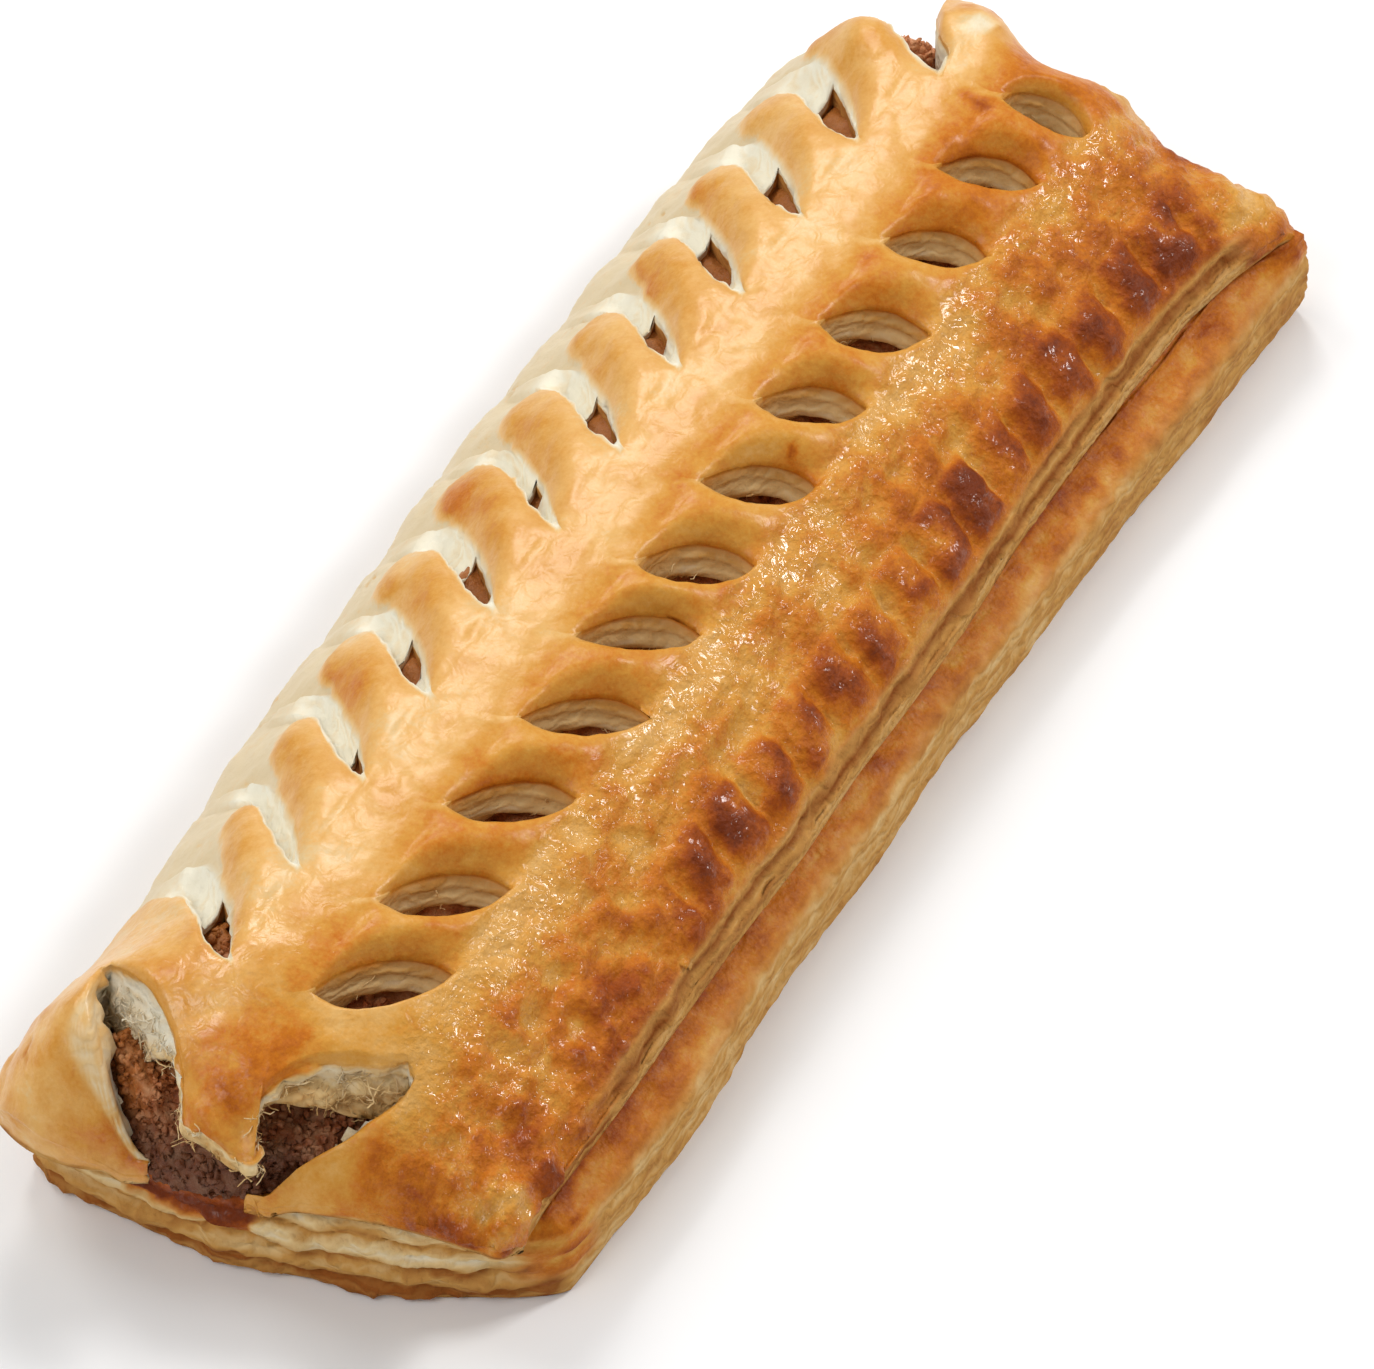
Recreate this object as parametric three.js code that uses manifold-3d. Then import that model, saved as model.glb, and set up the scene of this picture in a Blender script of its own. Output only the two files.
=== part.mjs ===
// Slashed puff-pastry sausage roll: a lower pastry sheet, a log of sausage filling and an upper
// sheet cut into chevron strips. Length runs along X, width along Y, the crimped side is -Y.
// Lengths in millimetres, +Z up, origin under the middle of the bounding box.
import * as THREE from 'three';
import { mergeVertices } from 'three/addons/utils/BufferGeometryUtils.js';
import Module from 'manifold-3d';

const wasm = await Module();
wasm.setup();

// overall form
const ridgeY = 4;
const ridgeHeight = 28.9;
const seamHeight = 11.2;
const partGap = 0.32;
const nearX = -84;
const farX = 84.4;

// plan of the upper sheet, as edge places with their bows, tapers and waists
const leftEdge = { y: 29.8, bow: 0.00048, bowX: 30, taper: 2.6, swell: 1.1, swellX: -79, swellWidth: 8 };
const rightEdge = { y: -26.7, flare: 3, waist: 0.9, waistX: 38, waistWidth: 14 };
const nearEdge = { skew: -0.231, lobe: 0.8, lobeY: 20, lobeWidth: 5 };
const farEdge = { dent: 1.2, dentY: -17, dentWidth: 4, taperFrom: 64, flareFrom: 62, flareTo: 84 };
const edgeWander = { left: 0.25, right: 0.3, near: 0.3, far: 0.4 };
const lidCorner = 5.5;
const cornerShape = { power: 7, share: 0.32 };

// plan of the lower sheet
const baseLeft = { overhang: 0.8, wander: 0.3 };
const baseRight = { y: -29.7, bow: 0.0004, bowX: -12, wander: 0.35 };
const baseNear = { x: -83.3, skew: -0.17, hollow: 0.0075, wander: 0.3 };
const baseFar = { x: 83.6, wander: 0.3 };
const baseCorner = 3.6;

// section of the upper sheet on either side of the ridge
const rightDome = { edge: 14.4, curve: 1.9, fullness: 1.15 };
const leftDome = { edge: 13, curve: 2, fullness: 0.8 };
const sheetEdgeRoll = 1.2;
const doughGrain = { height: 0.22, size: 2.6, phase: 0.7 };

// how the upper sheet comes down at its two ends
const endCurve = 2.3;
const nearEnd = { height: 13.2, reach: 19, lobe: 1.4, lobeY: 20, lobeWidth: 7 };
const farEnd = { height: 11.9, reach: 13, steeper: 5, steeperY: 7, steeperWidth: 6 };
const farHumps = [
  { height: 12.2, y: 8, width: 7.5 },
  { height: 7.6, y: -6, width: 8 },
];

// puffed corners of the upper sheet
const lobes = [
  { height: 4.6, x: -80.5, length: 8, y: 19, width: 8 },
  { height: 1.6, x: -75, length: 5, y: -22, width: 4 },
  { height: 1.1, x: 79, length: 5, y: -24, width: 5 },
];

// slits, each a lens starting at a distance from the ridge and bulging to its near and far side
const slitPitch = 12.6;
const slitCount = 11;
const firstSlitX = -69.7;
const slitAngle = 44 * Math.PI / 180;
const rightSlit = { start: 4.6, length: 14, near: 4.6, far: 5.6, shift: 0.43 };
const leftSlit = { start: 4.7, length: 14.4, near: 2, far: 3, shift: 0.27 };
const endSlit = { start: 6.8, length: 13.6, near: 4, far: 5.4, shift: 0.43 };
const slitDepth = { above: 3.5, tall: 22 };

// strips between the slits, swelling in the middle and rolling down at their edges
const strips = { rise: 0.9, valley: 2.6, steepSide: 1.5, slopedSide: 5.4, dipCurve: 1.6, tipCurve: 0.4 };
const columns = { before: 4, perStrip: 4, after: 5, rows: 20, reach: 21 };

// crimped side
const crimp = { pitch: 7.75, first: -66, last: 78, offset: 24.6, rise: 1.1, wander: 0.8 };
const crimpBump = { halfWidth: 3.6, halfLength: 5.6, halfHeight: 2.6, lean: 0.5, turn: -0.3 };

// side of the lower sheet, rounded above and stepped by its layers below
const baseRim = { bulge: 4.6, leftShare: 0.4, endShare: 0.4, from: 0.62, foot: 1.1, footTo: 0.2 };
const baseLayers = { depth: 0.35, turns: 19, drift: 0.8 };

// tongue between the two large near-end slits, with its sides as X, Y corner points
const tongue = { tipX: -85.4, rootX: -62, tipHeight: 22.6, rise: 1.7, roll: 2.2, rollCurve: 2.4 };
const tongueFade = { outside: -1.6, inside: 0.4 };
const tongueLeft = [
  [-90, 3.1], [-84.4, 4.4], [-82.4, 6.2], [-79.5, 8.6], [-75.2, 12.6], [-72.4, 16.6], [-69.5, 20.4],
];
const tongueRight = [
  [-90, -4.9], [-85.4, -4.1], [-83, -1], [-79, -0.7], [-75.2, -3], [-71.5, -6.2], [-66.5, -9.6],
];
const leftRim = [[-74, 20.6], [-79, 17.6], [-82.6, 14], [-84.6, 10.6], [-90, 9.2]];
const rightRim = [[-72.5, -8], [-77.5, -6.1], [-82, -4.9], [-90, -5.4]];
const besideTongueTall = 24;
const mouth = { x: -87, y: 2.15, depth: 13.4, width: 14.1, height: 7.7, below: 0.6 };

// room for the filling: floor, rim over the lower sheet, roof and reach to each side
const cavity = { floor: 5.4, rim: 10.2, roof: 21.4, right: 19, left: 19.5, near: -78.5, far: 79 };
const cavityEnds = { round: 0.2, drop: 0.3, bow: 0.8, low: 0.62, rampLength: 17 };
const cavityArch = { curve: 2.4, fullness: 0.6, spring: 0.4 };
const cavityMouth = { y: 2.2, width: 7, sheets: 10, filling: 5.6, from: 0.34, to: 0.66 };
const meatGrain = { depth: 0.6, size: 1.7, phase: 2.8 };

const clamp01 = (v) => Math.min(1, Math.max(0, v));

function smooth(a, b, v) {
  const t = clamp01((v - a) / (b - a));
  return t * t * (3 - 2 * t);
}

const bell = (v, centre, width) => Math.exp(-(((v - centre) / width) ** 2));

// Slow unevenness of hand-worked dough, between -1 and 1.
function uneven(x, y, size, phase) {
  const a = Math.sin(x / size + phase + 1.7 * Math.sin(y / size * 0.7 + phase));
  const b = Math.sin(y / size * 1.3 - phase * 2.1 + 1.3 * Math.sin(x / size * 0.8));
  return 0.5 * (a + b);
}

// Plan of the upper sheet.
function leftEdgeY(x) {
  const taper = leftEdge.taper * smooth(farEdge.taperFrom, farEdge.flareTo, x);
  const swell = leftEdge.swell * bell(x, leftEdge.swellX, leftEdge.swellWidth);
  const bow = leftEdge.bow * (x - leftEdge.bowX) ** 2;
  return leftEdge.y - bow - taper + swell + edgeWander.left * uneven(x, 0, 6, 0.4);
}

function rightEdgeY(x) {
  const flare = rightEdge.flare * smooth(farEdge.flareFrom, farEdge.flareTo, x);
  const waist = rightEdge.waist * bell(x, rightEdge.waistX, rightEdge.waistWidth);
  return rightEdge.y - flare + waist + edgeWander.right * uneven(x, 3, 5, 1.1);
}

function nearLidX(y) {
  const lobe = nearEdge.lobe * bell(y, nearEdge.lobeY, nearEdge.lobeWidth);
  return nearX + nearEdge.skew * y - lobe + edgeWander.near * uneven(4, y, 4, 2.2);
}

function farLidX(y) {
  const dent = farEdge.dent * bell(y, farEdge.dentY, farEdge.dentWidth);
  return farX - dent + edgeWander.far * uneven(9, y, 3.5, 0.9);
}

// Plan of the lower sheet.
function baseLeftY(x) {
  return leftEdgeY(x) + baseLeft.overhang + baseLeft.wander * uneven(x, 5, 5, 2.4);
}

function baseRightY(x) {
  const bow = baseRight.bow * (x - baseRight.bowX) ** 2;
  return baseRight.y - bow + baseRight.wander * uneven(x, 7, 6, 0.2);
}

function baseNearX(y) {
  return baseNear.x + baseNear.skew * y + baseNear.hollow * y * y + baseNear.wander * uneven(2, y, 3.6, 1.4);
}

const baseFarX = (y) => baseFar.x + baseFar.wander * uneven(6, y, 4, 0.3);

const lidEdges = { left: leftEdgeY, right: rightEdgeY, near: nearLidX, far: farLidX, corner: lidCorner };
const baseEdges = { left: baseLeftY, right: baseRightY, near: baseNearX, far: baseFarX, corner: baseCorner };

// Carries a unit square (s along, t across) onto a four-sided plan with rounded corners.
function planPoint(s, t, edges) {
  const a = 2 * s - 1;
  const b = 2 * t - 1;
  const atCorner = Math.abs(a * b) ** cornerShape.power;
  const pull = edges.corner * cornerShape.share * atCorner;
  const nominalX = nearX + (farX - nearX) * s;
  const left = edges.left(nominalX);
  const right = edges.right(nominalX);
  const y = left + (right - left) * t + Math.sign(b) * pull;
  const near = edges.near(y);
  const far = edges.far(y);
  return [near + (far - near) * s - Math.sign(a) * pull, y];
}

// Height of the plain dome across the width, before strips and crimps.
function domeHeight(x, y) {
  const w = y - ridgeY;
  const side = w < 0 ? rightDome : leftDome;
  const edgeY = w < 0 ? rightEdgeY(x) : leftEdgeY(x);
  const u = clamp01(w / (edgeY - ridgeY));
  return side.edge + (ridgeHeight - side.edge) * (1 - u ** side.curve) ** side.fullness;
}

// Height of the upper sheet along its two ends.
const nearEndHeight = (y) => nearEnd.height + nearEnd.lobe * bell(y, nearEnd.lobeY, nearEnd.lobeWidth);

function farEndHeight(y) {
  const humps = farHumps.map((hump) => hump.height * bell(y, hump.y, hump.width));
  return farEnd.height + humps[0] + humps[1];
}

// Share of the full dome height reached at a distance from an end.
function endRise(distance, reach) {
  return 1 - (1 - clamp01(distance / reach)) ** endCurve;
}

// Distance in X past the chevron line of the nearest slit, and how far along that slit.
function slitPlace(x, y) {
  const slit = y < ridgeY ? rightSlit : leftSlit;
  const run = Math.abs(y - ridgeY) - slit.start;
  const fromFirst = x - firstSlitX - Math.tan(slitAngle) * run;
  const k = Math.round(fromFirst / slitPitch);
  const past = fromFirst - k * slitPitch;
  return { past, share: run / (slit.length * Math.cos(slitAngle)), k };
}

// Strips swell between the slits and roll down into them.
function stripRelief(x, y) {
  const { past, share, k } = slitPlace(x, y);
  if (k < 0 || k > slitCount) {
    return 0;
  }
  const span = share > 0 && share < 1 ? (4 * share * (1 - share)) ** strips.tipCurve : 0;
  const side = past < 0 ? strips.steepSide : strips.slopedSide;
  const dip = (1 - clamp01(Math.abs(past) / side)) ** strips.dipCurve;
  const swell = Math.cos(Math.PI * past / slitPitch) ** 2;
  const reach = smooth(-0.5, 0.2, share) * (1 - smooth(0.95, 1.3, share));
  return strips.rise * reach * (1 - swell) - strips.valley * span * dip;
}

// Puffed corners of the upper sheet.
function lobeRelief(x, y) {
  return lobes.reduce((sum, lobe) => {
    return sum + lobe.height * bell(x, lobe.x, lobe.length) * bell(y, lobe.y, lobe.width);
  }, 0);
}

// Width of a side line at a given X, read between its corner points.
function sideY(side, x) {
  const last = side.length - 1;
  if (x <= side[0][0]) {
    return side[0][1];
  }
  for (let i = 0; i < last; i += 1) {
    const [x0, y0] = side[i];
    const [x1, y1] = side[i + 1];
    if (x <= x1) {
      return y0 + (y1 - y0) * (x - x0) / (x1 - x0);
    }
  }
  return side[last][1];
}

// Share of the tongue's own height at a point near the near end.
function tongueShare(x, y) {
  const inLeft = smooth(tongueFade.outside, tongueFade.inside, sideY(tongueLeft, x) - y);
  const inRight = smooth(tongueFade.outside, tongueFade.inside, y - sideY(tongueRight, x));
  return inLeft * inRight;
}

// Top of the tongue: low at its tip, rising to the dome, its two sides rolled down.
function tongueTop(x, y) {
  const s = clamp01((x - tongue.tipX) / (tongue.rootX - tongue.tipX));
  const rise = 1 - (1 - s) ** tongue.rise;
  const left = sideY(tongueLeft, x);
  const right = sideY(tongueRight, x);
  const b = clamp01(Math.abs((2 * y - left - right) / (left - right)));
  const roll = tongue.roll * b ** tongue.rollCurve * (1 - s);
  return tongue.tipHeight + (domeHeight(x, y) - tongue.tipHeight) * rise - roll;
}

function lidTop(x, y) {
  const near = nearEndHeight(y);
  const far = farEndHeight(y);
  const full = domeHeight(x, y) + stripRelief(x, y);
  const plain = near + (full - near) * endRise(x - nearLidX(y), nearEnd.reach);
  const share = x < tongue.rootX ? tongueShare(x, y) : 0;
  const atNear = plain + (Math.max(plain, tongueTop(x, y)) - plain) * share;
  const farReach = farEnd.reach - farEnd.steeper * bell(y, farEnd.steeperY, farEnd.steeperWidth);
  const both = far + (atNear - far) * endRise(farLidX(y) - x, farReach);
  const grain = doughGrain.height * uneven(x, y, doughGrain.size, doughGrain.phase);
  return both + lobeRelief(x, y) + grain;
}

// Closed block whose six faces are carried by a mapping of the unit cube.
function mappedBlock(along, across, up, place) {
  const box = new THREE.BoxGeometry(1, 1, 1, along, across, up);
  const position = box.attributes.position;
  for (let i = 0; i < position.count; i += 1) {
    const s = position.getX(i) + 0.5;
    const t = 0.5 - position.getY(i);
    const v = position.getZ(i) + 0.5;
    const [x, y, z] = place(s, t, v);
    position.setXYZ(i, x, y, z);
  }
  return box;
}

function toSolid(geometry) {
  const bare = geometry.clone();
  bare.deleteAttribute('normal');
  bare.deleteAttribute('uv');
  const merged = mergeVertices(bare, 1e-5);
  const mesh = new wasm.Mesh({
    numProp: 3,
    vertProperties: new Float32Array(merged.attributes.position.array),
    triVerts: new Uint32Array(merged.index.array),
  });
  return new wasm.Manifold(mesh);
}

function toGeometry(solid) {
  const mesh = solid.getMesh();
  const geometry = new THREE.BufferGeometry();
  geometry.setAttribute('position', new THREE.BufferAttribute(mesh.vertProperties, 3));
  geometry.setIndex(new THREE.BufferAttribute(mesh.triVerts, 1));
  geometry.computeVertexNormals();
  return geometry;
}

// X of a column of the upper sheet: along the chevrons in the middle, evenly spread at both ends.
function columnX(column, t, y) {
  const between = slitCount * columns.perStrip;
  const lastSlitX = firstSlitX + slitCount * slitPitch;
  const run = Math.min(Math.abs(y - ridgeY), columns.reach) - leftSlit.start;
  const lean = Math.tan(slitAngle) * Math.max(run, -1);
  if (column < columns.before) {
    const nearShare = 1 - column / columns.before;
    const nearEndX = planPoint(0, t, lidEdges)[0];
    return firstSlitX + lean + (nearEndX - firstSlitX - lean) * nearShare;
  }
  const past = column - columns.before;
  if (past > between) {
    const farShare = (past - between) / columns.after;
    const farEndX = planPoint(1, t, lidEdges)[0];
    return lastSlitX + lean + (farEndX - lastSlitX - lean) * farShare;
  }
  return firstSlitX + past / columns.perStrip * slitPitch + lean;
}

// Upper sheet as a full dome above the seam, its top edge rolled in.
function lidBlock() {
  const total = columns.before + slitCount * columns.perStrip + columns.after;
  const floor = seamHeight + partGap / 2;
  return mappedBlock(total, columns.rows, 2, (s, t, v) => {
    const y = planPoint(s, t, lidEdges)[1];
    const x = columnX(s * total, t, y);
    const z = floor + (lidTop(x, y) - floor) * v;
    const endSide = (s === 0 ? 1 : 0) - (s === 1 ? 1 : 0);
    const widthSide = (t === 1 ? 1 : 0) - (t === 0 ? 1 : 0);
    const roll = v === 1 ? sheetEdgeRoll : 0;
    return [x + roll * endSide, y + roll * widthSide, z];
  });
}

// Room for the filling between the two sheets, shrunk by a margin for the filling itself.
function cavityBlock(margin, mouthReach, along, across) {
  const levels = 3;
  const side = seamHeight + cavityArch.spring;
  const floor = cavity.floor + margin;
  const rim = cavity.rim + margin;
  return mappedBlock(along, across, levels, (s, t, v) => {
    const a = Math.abs(2 * s - 1);
    const b = 2 * t - 1;
    const half = (b < 0 ? cavity.left : cavity.right) - margin;
    const y = ridgeY - b * half * (1 - cavityEnds.round * a ** 8);
    const open = bell(y, cavityMouth.y, cavityMouth.width) * smooth(cavityMouth.from, cavityMouth.to, v);
    const near = cavity.near - mouthReach * open + margin;
    const far = cavity.far - cavityEnds.bow * b ** 4 - margin;
    const x = near + (far - near) * s;
    const arch = (1 - Math.abs(b) ** cavityArch.curve) ** cavityArch.fullness;
    const ramp = cavityEnds.low + (1 - cavityEnds.low) * smooth(0, cavityEnds.rampLength, x - near);
    const top = side + (cavity.roof - side) * arch * ramp * (1 - cavityEnds.drop * a ** 16) - margin;
    const level = Math.round(v * levels);
    const z = level < 2 ? floor + (rim - floor) * level : rim + (top - rim) * (level - 1) / 2;
    return [x, y, z];
  });
}

// Lens-shaped prism for one slit, lying along the chevron on either side of the ridge.
function slitCutter(x, side, slit) {
  const half = slit.length / 2;
  const lens = new THREE.Shape();
  lens.moveTo(-half, 0);
  lens.quadraticCurveTo(0, side * slit.near, half, 0);
  lens.quadraticCurveTo(0, -side * slit.far, -half, 0);
  const options = { depth: slitDepth.tall, bevelEnabled: false, curveSegments: 6 };
  const prism = new THREE.ExtrudeGeometry(lens, options);
  prism.rotateZ(side * (Math.PI / 2 - slitAngle));
  const cx = x + slit.shift + Math.sin(slitAngle) * half;
  const cy = ridgeY + side * (slit.start + Math.cos(slitAngle) * half);
  prism.translate(cx, cy, seamHeight + slitDepth.above);
  return prism;
}

// Prism through the pastry between one side of the tongue and the rim facing it.
function besideTongue(side, rim) {
  const outline = [...rim, ...side].map(([x, y]) => new THREE.Vector2(x, y));
  const plan = new THREE.Shape(outline);
  const prism = new THREE.ExtrudeGeometry(plan, { depth: besideTongueTall, bevelEnabled: false });
  prism.translate(0, 0, seamHeight - 1);
  return prism;
}

// Room under the tip of the tongue, where the filling shows at the near end.
function mouthBlock() {
  const block = new THREE.BoxGeometry(mouth.depth, mouth.width, mouth.height);
  block.translate(mouth.x, mouth.y, seamHeight - mouth.below + mouth.height / 2);
  return block;
}

// Bumps pressed along the crimped edge, each half sunk in the upper sheet.
function crimpBumps() {
  const bumps = [];
  for (let x = crimp.first; x <= crimp.last; x += crimp.pitch) {
    const y = ridgeY - crimp.offset + crimp.wander * uneven(x, 2, 3, 0.8);
    const bump = new THREE.SphereGeometry(1, 10, 6);
    bump.scale(crimpBump.halfWidth, crimpBump.halfLength, crimpBump.halfHeight);
    bump.rotateX(crimpBump.lean);
    bump.rotateZ(crimpBump.turn);
    bump.translate(x, y, lidTop(x, y) - crimpBump.halfHeight + crimp.rise);
    bumps.push(bump);
  }
  return bumps;
}

const sheetCavity = () => toSolid(cavityBlock(0, cavityMouth.sheets, 22, 8));

function makeLid() {
  let lid = toSolid(lidBlock());
  lid = lid.subtract(toSolid(besideTongue(tongueLeft, leftRim)));
  lid = lid.subtract(toSolid(besideTongue(tongueRight, rightRim)));
  lid = lid.subtract(toSolid(mouthBlock()));
  for (const bump of crimpBumps()) {
    lid = lid.add(toSolid(bump));
  }
  lid = lid.subtract(sheetCavity());
  for (let k = 0; k <= slitCount; k += 1) {
    const x = firstSlitX + slitPitch * k;
    lid = lid.subtract(toSolid(slitCutter(x, -1, k < slitCount ? rightSlit : endSlit)));
    lid = lid.subtract(toSolid(slitCutter(x, 1, leftSlit)));
  }
  return toGeometry(lid);
}

// Lower sheet with a flat underside, a rounded rim and worn layers along its cut faces.
function baseBlock() {
  return mappedBlock(40, 12, 6, (s, t, v) => {
    const [x, y] = planPoint(s, t, baseEdges);
    const a = 2 * s - 1;
    const b = 2 * t - 1;
    const shoulder = baseRim.bulge * (b < 0 ? baseRim.leftShare : 1) * smooth(baseRim.from, 1, v) ** 2;
    const foot = baseRim.foot * (1 - smooth(0, baseRim.footTo, v));
    const edge = v > 0 && v < 1 ? 1 : 0;
    const wave = Math.sin(v * baseLayers.turns + baseLayers.drift * uneven(x, y, 5, 1.5));
    const inset = shoulder + foot - baseLayers.depth * edge * wave;
    return [x - baseRim.endShare * inset * a, y + inset * b, v * (seamHeight - partGap / 2)];
  });
}

function makeBase() {
  return toGeometry(toSolid(baseBlock()).subtract(sheetCavity()));
}

// Filling as a log just inside the room, its upper side pitted.
function makeFilling() {
  const block = cavityBlock(partGap, cavityMouth.filling, 30, 8);
  const position = block.attributes.position;
  for (let i = 0; i < position.count; i += 1) {
    const x = position.getX(i);
    const y = position.getY(i);
    const z = position.getZ(i);
    const upper = smooth(cavity.rim - 1.8, cavity.roof, z);
    const pit = 0.5 + 0.5 * uneven(x, y, meatGrain.size, meatGrain.phase);
    position.setZ(i, z - meatGrain.depth * upper * pit);
  }
  return toGeometry(toSolid(block));
}

const pastryLooks = { roughness: 0.55, metalness: 0 };
const parts = [
  { name: 'pastry_base', build: makeBase, colour: 0xd9a866 },
  { name: 'filling', build: makeFilling, colour: 0x7a4026 },
  { name: 'pastry_lid', build: makeLid, colour: 0xd08a3c },
];

const sausageRoll = new THREE.Group();
sausageRoll.name = 'sausage_roll';
for (const { name, build, colour } of parts) {
  const material = new THREE.MeshStandardMaterial({ color: colour, ...pastryLooks });
  const mesh = new THREE.Mesh(build(), material);
  mesh.name = name;
  sausageRoll.add(mesh);
}

// Centre the bounding box over the origin.
const bounds = new THREE.Box3().setFromObject(sausageRoll);
const middle = bounds.getCenter(new THREE.Vector3());
for (const mesh of sausageRoll.children) {
  mesh.geometry.translate(-middle.x, -middle.y, -bounds.min.z);
}

export default sausageRoll;
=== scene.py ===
import math
from types import SimpleNamespace

import bpy
import numpy as np
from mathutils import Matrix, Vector


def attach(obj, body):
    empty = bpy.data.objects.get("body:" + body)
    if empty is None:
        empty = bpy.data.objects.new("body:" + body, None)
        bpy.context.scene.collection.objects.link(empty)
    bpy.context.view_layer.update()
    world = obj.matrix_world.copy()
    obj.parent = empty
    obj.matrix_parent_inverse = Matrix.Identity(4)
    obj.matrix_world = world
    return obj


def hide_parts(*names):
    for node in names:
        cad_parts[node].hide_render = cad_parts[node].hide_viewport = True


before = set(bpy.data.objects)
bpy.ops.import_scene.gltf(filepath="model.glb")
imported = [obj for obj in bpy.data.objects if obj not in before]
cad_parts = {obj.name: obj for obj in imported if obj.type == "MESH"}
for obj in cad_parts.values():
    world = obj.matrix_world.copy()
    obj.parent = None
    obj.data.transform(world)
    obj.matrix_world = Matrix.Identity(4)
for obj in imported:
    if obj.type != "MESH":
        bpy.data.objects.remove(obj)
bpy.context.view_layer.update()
mm = 0.001

# lengths below are in millimetres, in the roll's own drawing; the part stands at this shift from it
rollForm = {
    "shift": (1.976, 0.773),
    "ridgeY": 4.0,
    "ridgeHeight": 28.9,
    "seamHeight": 11.2,
    "sheetGap": 0.16,
    "nearX": -84.0,
    "farX": 84.4,
    "leftWidth": 25.8,
    "rightWidth": 30.7,
    "rightDome": (14.4, 1.9, 1.15),      # edge height, curve, fullness
    "leftDome": (13.0, 2.0, 0.8),
}

print("roll: frame loaded")


# small maths helpers, all working on whole arrays
def clamp01(v):
    return np.clip(v, 0.0, 1.0)


def smooth(a, b, v):
    t = clamp01((v - a) / (b - a))
    return t * t * (3 - 2 * t)


def bell(v, centre, width):
    return np.exp(-(((v - centre) / width) ** 2))


def lerp(a, b, t):
    return a + (b - a) * t


def plateau(v, rise, fall):
    # up over the first pair of values, down over the second
    return smooth(*rise, v) * (1 - smooth(*fall, v))


def spots(x, y, places):
    # soft round places added up, each X, Y, reach along X, reach along Y, amount
    total = 0
    for atX, atY, reachX, reachY, amount in places:
        total = total + amount * bell(x, atX, reachX) * bell(y, atY, reachY)
    return total


def uneven(x, y, size, phase):
    # slow unevenness of hand-worked dough, -1 to 1
    a = np.sin(x / size + phase + 1.7 * np.sin(y / size * 0.7 + phase))
    b = np.sin(y / size * 1.3 - phase * 2.1 + 1.3 * np.sin(x / size * 0.8))
    return 0.5 * (a + b)


def lumps(points, size, seed=1):
    # smooth random lumps of one size, -1 to 1, the same on every run
    p = points / np.asarray(size, float) + seed * 17.31
    cell = np.floor(p).astype(np.int64)
    part = p - cell
    part = part * part * (3 - 2 * part)
    total = np.zeros(p.shape[:-1])
    for corner in range(8):
        step = np.array([corner & 1, corner >> 1 & 1, corner >> 2 & 1])
        c = cell + step
        key = (c[..., 0] * 374761393 + c[..., 1] * 668265263 + c[..., 2] * 1103515245) & 0xFFFFFFFF
        key = ((key ^ (key >> 13)) * 1274126177) & 0xFFFFFFFF
        value = ((key ^ (key >> 16)) & 0xFFFF) / 32767.5 - 1
        weight = np.prod(np.where(step == 1, part, 1 - part), axis=-1)
        total += value * weight
    return total


def crust(points, size, seed, octaves=3):
    total = 0
    for n in range(octaves):
        total = total + lumps(points, np.asarray(size, float) / 2 ** n, seed + n) * 0.5 ** n
    return total


def through(table, shares):
    # smooth line through given (share, x, y) points, read at any share
    table = np.array(sorted(table), float)
    t, values = table[:, 0], table[:, 1:]
    slopes = np.gradient(values, t, axis=0)
    i = np.clip(np.searchsorted(t, shares) - 1, 0, len(t) - 2)
    span = (t[i + 1] - t[i])[:, None]
    f = clamp01((shares - t[i])[:, None] / span)
    h0, h1 = 2 * f ** 3 - 3 * f ** 2 + 1, f ** 3 - 2 * f ** 2 + f
    h2, h3 = 3 * f ** 2 - 2 * f ** 3, f ** 3 - f ** 2
    return h0 * values[i] + h1 * span * slopes[i] + h2 * values[i + 1] + h3 * span * slopes[i + 1]


# outline of the upper sheet and height of its plain dome
def leftEdgeY(x):
    taper = 2.6 * smooth(64, 84, x) - 1.1 * bell(x, -79, 8)
    return 29.8 - 0.00048 * (x - 30) ** 2 - taper + 0.25 * uneven(x, 0, 6, 0.4)


def rightEdgeY(x):
    flare = -3 * smooth(62, 84, x) - 1.3 * smooth(74, 84, x)
    return -26.7 + flare + 0.9 * bell(x, 38, 14) + 0.3 * uneven(x, 3, 5, 1.1)


def nearLidX(y):
    return -84 - 0.231 * y - 0.8 * bell(y, 20, 5) + 0.3 * uneven(4, y, 4, 2.2)


def farLidX(y):
    return 84.4 - 1.2 * bell(y, -17, 4) + 0.4 * uneven(9, y, 3.5, 0.9)


def domeHeight(x, y):
    w = y - rollForm["ridgeY"]
    top = rollForm["ridgeHeight"]
    heights = []
    for edgeY, (edge, curve, fullness) in ((rightEdgeY(x), rollForm["rightDome"]),
                                           (leftEdgeY(x), rollForm["leftDome"])):
        u = clamp01(w / (edgeY - rollForm["ridgeY"]))
        heights.append(edge + (top - edge) * (1 - u ** curve) ** fullness)
    return np.where(w < 0, heights[0], heights[1])


def endRise(distance, reach):
    return 1 - (1 - clamp01(distance / reach)) ** 2.3


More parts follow.
